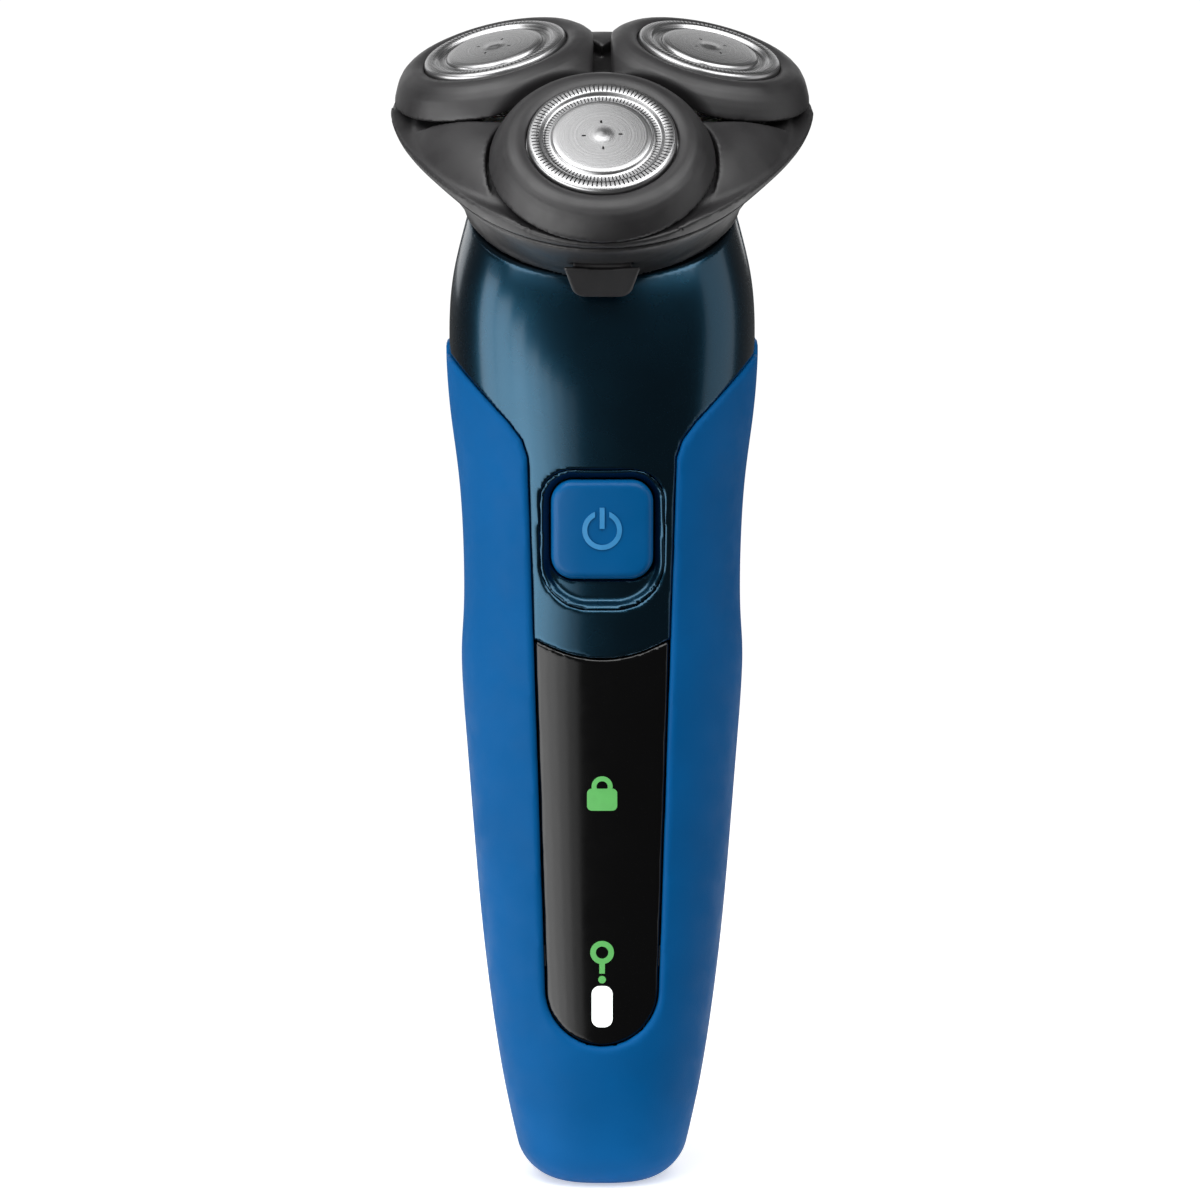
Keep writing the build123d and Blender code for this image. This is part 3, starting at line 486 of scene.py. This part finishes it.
def nest_field(x, y, z, k):
    """Room for a head at rest, and tilted inwards to its limit."""
    out, side, up = in_head(x, y, z, k)
    rest = np.maximum(np.hypot(out, side) - NEST_R, NEST_Z - up)
    wide = np.maximum(np.hypot(out - NEST_REACH, side) - NEST_R, NEST_Z - up)
    dx, dz = out - HEAD_HINGE[0], up - HEAD_HINGE[1]
    c, s = math.cos(NEST_TILT), math.sin(NEST_TILT)
    tilted_out = c * dx + s * dz + HEAD_HINGE[0]
    tilted_up = -s * dx + c * dz + HEAD_HINGE[1]
    tilted = np.maximum(np.hypot(tilted_out, side) - NEST_R, NEST_Z - tilted_up)
    gear_x, gear_y = gear_centre(k)
    hole = np.hypot(x - gear_x, y - gear_y) - NEST_HOLE_R
    return np.minimum.reduce([rest, wide, tilted, hole])


def dome_arc():
    """Centre and radius of the arc through the three points of the lid's shoulder."""
    (r0, z0), (r1, z1), (r2, z2) = DOME
    rows = np.array([[2 * (r1 - r0), 2 * (z1 - z0)], [2 * (r2 - r0), 2 * (z2 - z0)]])
    right = np.array([r1 ** 2 + z1 ** 2 - r0 ** 2 - z0 ** 2, r2 ** 2 + z2 ** 2 - r0 ** 2 - z0 ** 2])
    centre = np.linalg.solve(rows, right)
    return centre, math.hypot(r0 - centre[0], z0 - centre[1])


DOME_CENTRE, DOME_R = dome_arc()


def head_holder_field(x, y, z):
    """The lid: a rim and a domed web round three nests, with the middle hinge knuckle."""
    radius = np.hypot(x, y)
    arc = np.hypot(radius - DOME_CENTRE[0], z - DOME_CENTRE[1]) - DOME_R
    dome = round_max(arc, z - DOME[2][1], 0.8)
    dome = np.maximum(dome, RIM_Z - 0.6 - z)
    rim = np.maximum(lobed_field(x, y, z), z - RIM_Z)
    lid = round_min(rim, dome, 0.6)
    lid = round_max(lid, SEAM_Z + SEAM - z, 0.25)
    for k in HEADS:
        lid = round_max(lid, -nest_field(x, y, z, k), 0.35)
    lid = round_max(lid, -rear_notch(x, y, z), 0.2)
    half = KNUCKLE_X[0]
    return np.minimum(lid, hinge_knuckle(x, y, z, -half, half, 1))


def head_ring_field(x, y, z, k):
    """The ring round one guard, its skirt cut back along the planes to its neighbours."""
    outline = [(r - RING_ROUND * (r > RING_MIDDLE) + RING_ROUND * (r < RING_MIDDLE), h - RING_DROP)
               for r, h in RING]
    ring = polygon_field(np.hypot(x, y), z, outline) - RING_ROUND
    tilt = POD_TILTS[k - 1]
    out = GEAR_CENTRES + x * math.cos(tilt) + (z + TIP_DEPTH) * math.sin(tilt)
    c, s = math.cos(math.radians(60)), math.sin(math.radians(60))
    beside = np.abs(y) * c - out * s + SECTOR_GAP
    return round_max(ring, beside, 0.5)


# ---------------------------------------------------------------- from a field to a mesh

def surface_nets(values):
    """Vertices, in cells, and quads of the surface where a grid of values changes sign."""
    inside = values < 0
    corners = [(i, j, k) for i in (0, 1) for j in (0, 1) for k in (0, 1)]
    shape = tuple(n - 1 for n in values.shape)

    def shifted(array, corner):
        return array[tuple(slice(c, c + n) for c, n in zip(corner, shape))]

    count = sum(shifted(inside, corner).astype(np.int8) for corner in corners)
    active = np.argwhere((count > 0) & (count < 8))
    held = {corner: shifted(values, corner)[tuple(active.T)] for corner in corners}
    total = np.zeros((len(active), 3))
    crossings = np.zeros(len(active))
    for a in corners:
        for axis in range(3):
            if a[axis]:
                continue
            b = tuple(c + (i == axis) for i, c in enumerate(a))
            va, vb = held[a], held[b]
            cross = (va < 0) != (vb < 0)
            t = np.where(cross, va / np.where(cross, va - vb, 1), 0)
            point = np.array(a, float) + t[:, None] * (np.array(b) - np.array(a))
            total += np.where(cross[:, None], point, 0)
            crossings += cross
    points = active + total / crossings[:, None]
    index = np.full(shape, -1)
    index[tuple(active.T)] = np.arange(len(active))
    quads = []
    for axis in range(3):
        e, f = np.roll(np.eye(3, dtype=int), axis, axis=1)[[1, 2]]
        low = inside[tuple(slice(1 - (i == axis), -1) for i in range(3))]
        step = tuple(slice(1, None if i == axis else -1) for i in range(3))
        high = inside[step]
        at = np.argwhere(low != high)
        flip = low[tuple(at.T)]
        at = at + (1 - np.eye(3, dtype=int)[axis])
        ring = [index[tuple((at - e - f).T)], index[tuple((at - f).T)], index[tuple(at.T)],
                index[tuple((at - e).T)]]
        ring = np.stack(ring, axis=1)
        quads.append(np.where(flip[:, None], ring, ring[:, ::-1]))
    return points, np.concatenate(quads)


def settle(field, points, rounds=3):
    """Points moved onto the field's surface."""
    h = 0.04
    for _ in range(rounds):
        x, y, z = points.T
        slope = np.stack([field(x + h, y, z) - field(x - h, y, z), field(x, y + h, z) - field(x, y - h, z),
                          field(x, y, z + h) - field(x, y, z - h)], axis=1) / (2 * h)
        steep = np.maximum((slope ** 2).sum(axis=1), 0.3)
        step = (field(x, y, z) / steep)[:, None] * slope
        points = points - np.clip(step, -0.3, 0.3)
    return points


def new_object(name, points, faces, place=None):
    """A mesh object from points in millimetres, placed and brought to metres."""
    mesh = bpy.data.meshes.new(name)
    mesh.from_pydata((np.asarray(points) * MM).tolist(), [], [list(map(int, f)) for f in faces])
    if place is not None:
        mesh.transform(place)
    mesh.update()
    mesh.shade_smooth()
    piece = bpy.data.objects.new(name, mesh)
    bpy.context.scene.collection.objects.link(piece)
    return piece


def carve(name, field, low, high, cell, place=None):
    """The mesh of a field inside a box, all in millimetres."""
    axes = [np.arange(a - cell, b + 2 * cell, cell) for a, b in zip(low, high)]
    x, y, z = np.meshgrid(*axes, indexing="ij")
    values = field(x, y, z)
    points, quads = surface_nets(values)
    points = np.array([axis[0] for axis in axes]) + points * cell
    return new_object(name, settle(field, points), quads, place)


# ---------------------------------------------------------------- guards, with real slots

GUARD_ROWS = [  # radius and height outside, radius and height inside
    (0.7, 1.12, 0.7, 0.70), (1.0, 0.98, 1.0, 0.60), (1.9, 0.96, 1.9, 0.58), (2.25, 0.95, 2.25, 0.57),
    (2.8, 0.94, 2.8, 0.56), (4.4, 0.90, 4.4, 0.52), (6.0, 0.83, 6.0, 0.45), (6.7, 0.77, 6.6, 0.40),
    (6.95, 0.62, 6.75, 0.22), (7.1, 0.32, 6.9, -0.08), (7.35, 0.22, 7.3, -0.15), (8.1, 0.22, 8.15, -0.15),
    (8.35, 0.34, 8.5, -0.04), (8.5, 0.64, 8.65, 0.30), (8.7, 0.76, 8.8, 0.40), (9.2, 0.80, 9.2, 0.44),
    (9.75, 0.78, 9.65, 0.42), (10.1, 0.66, 9.85, 0.30), (10.28, 0.44, 9.95, 0.16), (10.35, 0.15, 9.97, 0.0),
    (10.35, -0.9, 9.97, -1.0), (11.38, -0.92, 11.38, -1.28), (9.97, -1.3, 9.97, -1.3)]
SLOT_ROWS = ((10, 11), (14, 16))
HOLE_ROW = 3
HOLE_CELLS = 3
SLOTS = 96
SLOT_SHARE = 0.3


def guard_open(i, j):
    """Whether cell i round and j out is open: a slot, or one of the four holes."""
    if any(low <= j < high for low, high in SLOT_ROWS):
        return i % 2 == 1
    return j == HOLE_ROW and i % (SLOTS // 2) < HOLE_CELLS


def guard_piece(k):
    """A thin turned cap, cell by cell: two skins, and a wall wherever a slot or hole opens it."""
    pitch = 2 * math.pi / SLOTS
    angles = [pitch * (n + share) for n in range(SLOTS) for share in (0, 1 - SLOT_SHARE)]
    around, rows = len(angles), len(GUARD_ROWS)
    points = [(r * math.cos(a), r * math.sin(a), h)
              for side in (0, 2) for r, h in (row[side:side + 2] for row in GUARD_ROWS) for a in angles]

    def at(side, j, i):
        return side * rows * around + j * around + i % around

    def shut(i, j):
        return 0 <= j < rows - 1 and not guard_open(i % around, j)

    faces = [[at(0, 0, i) for i in range(around)], [at(1, 0, i) for i in reversed(range(around))]]
    for j in range(rows - 1):
        for i in range(around):
            if not shut(i, j):
                continue
            faces.append([at(0, j, i), at(0, j + 1, i), at(0, j + 1, i + 1), at(0, j, i + 1)])
            faces.append([at(1, j, i), at(1, j, i + 1), at(1, j + 1, i + 1), at(1, j + 1, i)])
            if not shut(i - 1, j):
                faces.append([at(0, j, i), at(1, j, i), at(1, j + 1, i), at(0, j + 1, i)])
            if not shut(i + 1, j):
                faces.append([at(0, j, i + 1), at(0, j + 1, i + 1), at(1, j + 1, i + 1), at(1, j, i + 1)])
            if j and not shut(i, j - 1):
                faces.append([at(0, j, i), at(0, j, i + 1), at(1, j, i + 1), at(1, j, i)])
            if j < rows - 2 and not shut(i, j + 1):
                faces.append([at(0, j + 1, i), at(1, j + 1, i), at(1, j + 1, i + 1), at(0, j + 1, i + 1)])
    piece = new_object(f"slotted_guard_{k}", points, faces)
    work = bmesh.new()
    work.from_mesh(piece.data)
    bmesh.ops.remove_doubles(work, verts=work.verts, dist=1e-7)
    bmesh.ops.recalc_face_normals(work, faces=work.faces)
    work.to_mesh(piece.data)
    work.free()
    radius = [math.hypot(v.co.x, v.co.y) / MM for v in piece.data.vertices]
    piece.data.attributes.new("spin_radius", "FLOAT", "POINT").data.foreach_set("value", radius)
    piece.data.transform(head_frame(k))
    piece.data.set_sharp_from_angle(angle=math.radians(38))
    return piece


# ---------------------------------------------------------------- the spindles' springs

SPRING = (2.1, 0.2, 2.5, 9.83, 12.22)  # coil radius, wire radius, turns, lower and upper end of its path
SPRING_STEPS = 24
SPRING_SIDES = 8


def spring_piece(k):
    """A coil of round wire between the gear's hub and the spindle's collar."""
    coil_r, wire_r, turns, low, high = SPRING
    axis = Vector((*gear_centre(k), 0))
    rings = int(turns * SPRING_STEPS) + 1
    points, faces = [], []
    for i in range(rings):
        turn = 2 * math.pi * i / SPRING_STEPS
        out = Vector((math.cos(turn), math.sin(turn), 0))
        centre = axis + coil_r * out + Vector((0, 0, low + (high - low) * i / (rings - 1)))
        for j in range(SPRING_SIDES):
            a = 2 * math.pi * j / SPRING_SIDES
            points.append(centre + wire_r * (math.cos(a) * out + math.sin(a) * Vector((0, 0, 1))))
    for i in range(rings - 1):
        for j in range(SPRING_SIDES):
            a, b = i * SPRING_SIDES + j, i * SPRING_SIDES + (j + 1) % SPRING_SIDES
            faces.append((a, a + SPRING_SIDES, b + SPRING_SIDES, b))
    faces.append(tuple(range(SPRING_SIDES)))
    faces.append(tuple(reversed(range((rings - 1) * SPRING_SIDES, rings * SPRING_SIDES))))
    return new_object(f"coil_of_spindle_{k}", points, faces, NECK)


def shorten_spring(piece):
    """Gives the coil a mesh of its own; its shape stays as it is."""
    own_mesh(piece)


# ---------------------------------------------------------------- materials

NOISE_MIDDLE = (0.3, 0.7)
RING_SCALE = 9.0
DRAW_STRETCH = (1, 1, 0.05)


def principled(name, colour, roughness, **sockets):
    """A material whose other sockets are named with _ for each space."""
    material = bpy.data.materials.new(name)
    material.use_nodes = True
    shader = material.node_tree.nodes["Principled BSDF"]
    shader.inputs["Base Color"].default_value = (*colour, 1)
    shader.inputs["Roughness"].default_value = roughness
    for socket, value in sockets.items():
        shader.inputs[socket.replace("_", " ")].default_value = value
    return material


def noise(material, scale, detail=3.0, stretch=None):
    """Noise in the row frame; scale is in features per metre."""
    nodes, links = material.node_tree.nodes, material.node_tree.links
    place = nodes.new("ShaderNodeTexCoord").outputs["Object"]
    if stretch:
        mapping = nodes.new("ShaderNodeMapping")
        mapping.inputs["Scale"].default_value = stretch
        links.new(place, mapping.inputs["Vector"])
        place = mapping.outputs["Vector"]
    texture = nodes.new("ShaderNodeTexNoise")
    texture.inputs["Scale"].default_value = scale
    texture.inputs["Detail"].default_value = detail
    links.new(place, texture.inputs["Vector"])
    return texture.outputs["Fac"]


def rings(material, scale):
    """Noise that follows a piece's spun rings, from its spin_radius attribute."""
    nodes, links = material.node_tree.nodes, material.node_tree.links
    radius = nodes.new("ShaderNodeAttribute")
    radius.attribute_name = "spin_radius"
    texture = nodes.new("ShaderNodeTexNoise")
    texture.noise_dimensions = "1D"
    texture.inputs["Scale"].default_value = scale
    texture.inputs["Detail"].default_value = 4.0
    links.new(radius.outputs["Fac"], texture.inputs["W"])
    return texture.outputs["Fac"]


def spread(material, source, low, high, socket):
    """Maps a noise onto a range of one of the shader's own values."""
    nodes, links = material.node_tree.nodes, material.node_tree.links
    ramp = nodes.new("ShaderNodeMapRange")
    for name, value in zip(("From Min", "From Max", "To Min", "To Max"), (*NOISE_MIDDLE, low, high)):
        ramp.inputs[name].default_value = value
    links.new(source, ramp.inputs["Value"])
    links.new(ramp.outputs["Result"], nodes["Principled BSDF"].inputs[socket])


def tint(material, source, dark, light):
    """Mottles the base colour between two close colours."""
    nodes, links = material.node_tree.nodes, material.node_tree.links
    ramp = nodes.new("ShaderNodeValToRGB")
    for stop, position, colour in zip(ramp.color_ramp.elements, NOISE_MIDDLE, (dark, light)):
        stop.position = position
        stop.color = (*colour, 1)
    links.new(source, ramp.inputs["Fac"])
    links.new(ramp.outputs["Color"], nodes["Principled BSDF"].inputs["Base Color"])


def relief(material, source, distance):
    """Bump from a noise; distance is in metres."""
    nodes, links = material.node_tree.nodes, material.node_tree.links
    bump = nodes.new("ShaderNodeBump")
    bump.inputs["Distance"].default_value = distance
    bump.inputs["Strength"].default_value = 1.0
    links.new(source, bump.inputs["Height"])
    links.new(bump.outputs["Normal"], nodes["Principled BSDF"].inputs["Normal"])


def plastic(name, colour, rough, grain, depth, spread_by=0.15, uneven=0.18, **sockets):
    """Moulded plastic: close mottling, uneven gloss and a fine moulded grain."""
    material = principled(name, colour, rough, **sockets)
    dark = [c * (1 - spread_by) for c in colour]
    light = [min(1, c * (1 + spread_by)) for c in colour]
    tint(material, noise(material, 90), dark, light)
    spread(material, noise(material, 260, 5), rough * (1 - uneven), rough * (1 + uneven), "Roughness")
    relief(material, noise(material, grain, 4), depth)
    return material


def steel(name, colour, rough):
    """Spun or turned metal, with fine rings in its gloss and its relief."""
    material = principled(name, colour, rough, Metallic=1.0)
    tint(material, rings(material, 0.4 * RING_SCALE), [c * 0.86 for c in colour], colour)
    spread(material, rings(material, RING_SCALE), rough * 0.7, rough * 1.35, "Roughness")
    relief(material, rings(material, 1.7 * RING_SCALE), 6e-6)
    return material


def drawn_metal(name, colour, rough):
    """Metal with fine straight draw marks."""
    material = principled(name, colour, rough, Metallic=1.0)
    tint(material, noise(material, 300, 3), [c * 0.85 for c in colour], colour)
    spread(material, noise(material, 2500, 3, DRAW_STRETCH), rough * 0.7, rough * 1.3, "Roughness")
    relief(material, noise(material, 4000, 2, DRAW_STRETCH), 4e-6)
    return material


def lit(name, colour, strength):
    """A backlit symbol, a little uneven as light through a mask is."""
    material = principled(name, colour, 0.35, Emission_Color=(*colour, 1), Emission_Strength=strength)
    tint(material, noise(material, 700), [c * 0.9 for c in colour], colour)
    spread(material, noise(material, 500), 0.3, 0.45, "Roughness")
    return material


MATERIALS = {
    "soft_grip": plastic("blue_soft_touch", (0.0008, 0.086, 0.265), 0.55, 5200, 1.6e-5, 0.06,
                         Specular_IOR_Level=0.07),
    "navy_gloss": plastic("navy_gloss_plastic", (0.0085, 0.050, 0.088), 0.27, 700, 4e-7, 0.03, 0.04,
                          Metallic=1.0, Coat_Weight=0.8, Coat_Roughness=0.15, Coat_IOR=1.4),
    "black_gloss": plastic("black_window_plastic", (0.0012, 0.0012, 0.0013), 0.14, 300, 4e-7, 0.1,
                           Specular_IOR_Level=0.5),
    "dark_satin": plastic("dark_satin_plastic", (0.018, 0.0173, 0.0183), 0.45, 4200, 1.0e-5, 0.08,
                          Specular_IOR_Level=0.62),
    "button_blue": plastic("blue_button_plastic", (0.0006, 0.083, 0.245), 0.35, 3600, 8e-6, 0.05,
                           Specular_IOR_Level=0.12, Coat_Weight=0.1, Coat_Roughness=0.25),
    "symbol_blue": lit("pale_blue_symbol", (0.035, 0.22, 0.47), 0.1),
    "icon_green": lit("green_icon", (0.10, 0.38, 0.10), 0.35),
    "icon_white": lit("white_icon", (0.95, 1.0, 0.97), 0.8),
    "guard_steel": steel("spun_guard_steel", (0.52, 0.52, 0.525), 0.30),
    "blade_steel": drawn_metal("ground_blade_steel", (0.56, 0.56, 0.58), 0.26),
    "bright_steel": drawn_metal("bright_steel", (0.66, 0.66, 0.67), 0.16),
    "motor_steel": drawn_metal("zinc_plated_can", (0.55, 0.56, 0.58), 0.34),
    "natural_plastic": plastic("natural_acetal", (0.72, 0.70, 0.64), 0.38, 2600, 8e-6, 0.04,
                               Subsurface_Weight=0.1, Subsurface_Scale=0.002),
    "grey_plastic": plastic("grey_frame_plastic", (0.10, 0.105, 0.115), 0.5, 3000, 1e-5),
    "board_green": plastic("green_board", (0.015, 0.11, 0.045), 0.25, 1500, 6e-6, 0.2),
    "black_part": plastic("black_moulding", (0.012, 0.012, 0.013), 0.45, 3600, 1e-5, 0.1),
    "seal_rubber": plastic("seal_rubber", (0.014, 0.014, 0.015), 0.7, 3000, 1.5e-5, 0.1),
    "cell_wrap": plastic("cell_wrap", (0.02, 0.16, 0.07), 0.22, 800, 5e-6, 0.08),
    "nickel": drawn_metal("nickel_plate", (0.66, 0.62, 0.54), 0.22),
    "magnet_black": plastic("sintered_magnet", (0.03, 0.03, 0.033), 0.6, 5000, 2e-5, 0.2),
    "copper": drawn_metal("enamelled_copper", (0.72, 0.34, 0.18), 0.3),
}
SLOTS_OF_NODES = {part["node"]: part["material_slot"] for part in frame["record"]["subparts"]}


def paint_cad_nodes():
    """Every CAD node gets its slot's material, and sharp edges by angle."""
    for name, node in frame["nodes"].items():
        node.data.materials.clear()
        node.data.materials.append(MATERIALS[SLOTS_OF_NODES[name]])
        node.data.set_sharp_from_angle(angle=math.radians(32))


# ---------------------------------------------------------------- the visible pieces

def place_piece(piece, body, node):
    """Rides a body, hides the CAD node it stands for, and takes the material of that node's slot."""
    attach(piece, body)
    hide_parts(node)
    slot = SLOTS_OF_NODES[node]
    piece.data.materials.append(MATERIALS[slot])


def handle_pieces():
    """The sleeve, casing, window, recess and button."""
    grip = carve("soft_grip", grip_field, (-23.5, -20, -0.5), (23.5, 23.5, 126), 0.55)
    place_piece(grip, "handle", "grip_sleeve")
    cover = carve("glossy_front_cover", front_cover_field, (-23, -19.5, 20), (23, 0.5, 143), 0.45)
    place_piece(cover, "handle", "front_cover")
    rear = carve("glossy_rear_top", rear_shell_field, (-23, -0.5, 118), (23, 22.5, 151), 0.5)
    place_piece(rear, "handle", "rear_shell")
    window = carve("black_window", window_piece_field, (-10.5, -17.5, 21), (10.5, -11, 82), 0.4)
    place_piece(window, "handle", "display_window")
    surround = carve("button_recess", bezel_field, (-9.2, -18.5, 85), (9.2, -12.5, 106), 0.35)
    place_piece(surround, "handle", "button_bezel")
    button = carve("cushioned_button", button_field, (-7.6, -18.6, 89.5), (7.6, -13.5, 104.5), 0.3)
    place_piece(button, "button", "power_button")


def unit_pieces():
    """The bowl, lid and tab, and each head's ring, guard and spring."""
    base = carve("bowl", unit_base_field, (-31.5, -33, -3.6), (31.5, 33, 11.4), 0.42, NECK)
    place_piece(base, "shaving_unit", "unit_base")
    lid = carve("lid_with_web", head_holder_field, (-32, -34, 7.5), (32, 34, 17.6), 0.38, NECK)
    place_piece(lid, "holder", "head_holder")
    tab = carve("release_tab_pad", release_tab_field, (-6.2, -31, -3), (6.2, -20, 6), 0.25, NECK)
    place_piece(tab, "release_catch", "release_tab")
    for k in HEADS:
        ring = carve(f"ring_of_head_{k}", functools.partial(head_ring_field, k=k), (-16.5, -16.5, -4.2),
                     (16.5, 16.5, 0.8), 0.36, head_frame(k))
        place_piece(ring, f"head_{k}", f"head_ring_{k}")
        place_piece(guard_piece(k), f"head_{k}", f"guard_{k}")
        spring = spring_piece(k)
        place_piece(spring, f"spindle_{k}", f"spindle_spring_{k}")
        shorten_spring(spring)


# ---------------------------------------------------------------- camera, light and floor

TARGET = Vector((-0.0003, 0, 0.085))
CAMERA_DISTANCE = 0.6
CAMERA_RISE = math.radians(7)
LENS = 123.9
FLOOR = (300, -20, 450)  # half-width, front and rear edge in millimetres
SKY = 0.07
SEEN_SKY = 1.05
LIGHT_DISTANCE = 0.95
LIGHTS = (  # name, angle round from the front, lower and upper edge and width in metres, brightness
    ("left_box_1", -13, -0.55, 0.00, 0.12, 0.7),
    ("left_box_2", -20, -0.55, 0.05, 0.12, 1.5),
    ("left_box_3", -27, -0.55, 0.10, 0.12, 2.3),
    ("left_box_4", -36, -0.50, 0.16, 0.18, 3.0),
    ("left_box_5", -48, -0.50, 0.24, 0.22, 3.6),
    ("left_box_6", -63, -0.50, 0.34, 0.28, 3.2),
    ("left_box_7", -82, -0.50, 0.45, 0.34, 3.0),
    ("right_box", 88, -0.30, 0.60, 0.70, 0.75),
    ("back_box", 190, 0.15, 0.85, 1.40, 0.8),
)
HIGH_LIGHTS = (  # name, place, width and height in metres, brightness
    ("top_box", (-0.32, -0.05, 0.95), 0.6, 0.8, 1.25),
    ("left_key", (-0.37, -0.48, 0.75), 0.8, 0.7, 3.2),
    ("right_key", (0.40, -0.48, 0.75), 0.8, 0.7, 3.3),
)


def make_camera():
    """A long lens from the front, a little above."""
    data = bpy.data.cameras.new("camera")
    data.lens = LENS
    data.sensor_width = 36
    camera = bpy.data.objects.new("camera", data)
    bpy.context.scene.collection.objects.link(camera)
    toward = Vector((0, math.cos(CAMERA_RISE), -math.sin(CAMERA_RISE)))
    camera.location = TARGET - CAMERA_DISTANCE * toward
    camera.rotation_euler = toward.to_track_quat("-Z", "Y").to_euler()
    bpy.context.scene.camera = camera


def area_light(name, place, width, height, brightness):
    """A soft box that faces the object; its power gives it the brightness wanted."""
    data = bpy.data.lights.new(name, "AREA")
    data.shape = "RECTANGLE"
    data.size, data.size_y = width, height
    data.energy = brightness * math.pi * width * height
    light = bpy.data.objects.new(name, data)
    bpy.context.scene.collection.objects.link(light)
    light.location = place
    light.rotation_euler = (TARGET - Vector(place)).to_track_quat("-Z", "Y").to_euler()


def make_studio():
    """White all round to the eye. The light is a curved soft box on the left, in strips, one each on the
    right and behind, one overhead, two high in front, and a dim sky."""
    world = bpy.data.worlds.new("studio")
    world.use_nodes = True
    nodes, links = world.node_tree.nodes, world.node_tree.links
    background = nodes["Background"]
    seen = nodes.new("ShaderNodeLightPath").outputs["Is Camera Ray"]
    strength = nodes.new("ShaderNodeMapRange")
    strength.inputs["To Min"].default_value = SKY
    strength.inputs["To Max"].default_value = SEEN_SKY
    links.new(seen, strength.inputs["Value"])
    links.new(strength.outputs["Result"], background.inputs["Strength"])
    background.inputs["Color"].default_value = (1.0, 1.0, 1.0, 1)
    bpy.context.scene.world = world
    bpy.context.scene.view_settings.view_transform = "Standard"
    for name, angle, low, high, width, brightness in LIGHTS:
        turn = math.radians(angle)
        place = (LIGHT_DISTANCE * math.sin(turn), -LIGHT_DISTANCE * math.cos(turn), (low + high) / 2)
        area_light(name, place, width, high - low, brightness)
    for light in HIGH_LIGHTS:
        area_light(*light)
    half, front, rear = FLOOR
    floor = new_object("floor", [(-half, front, 0), (half, front, 0), (half, rear, 0), (-half, rear, 0)],
                       [(0, 1, 2, 3)])
    paint = principled("pale_floor", (0.86, 0.86, 0.86), 0.7, Specular_IOR_Level=0.1,
                       Emission_Color=(1, 1, 1, 1), Emission_Strength=0.5)
    tint(paint, noise(paint, 6), (0.85, 0.85, 0.85), (0.87, 0.87, 0.87))
    floor.data.materials.append(paint)


make_camera()
make_studio()
paint_cad_nodes()
handle_pieces()
unit_pieces()
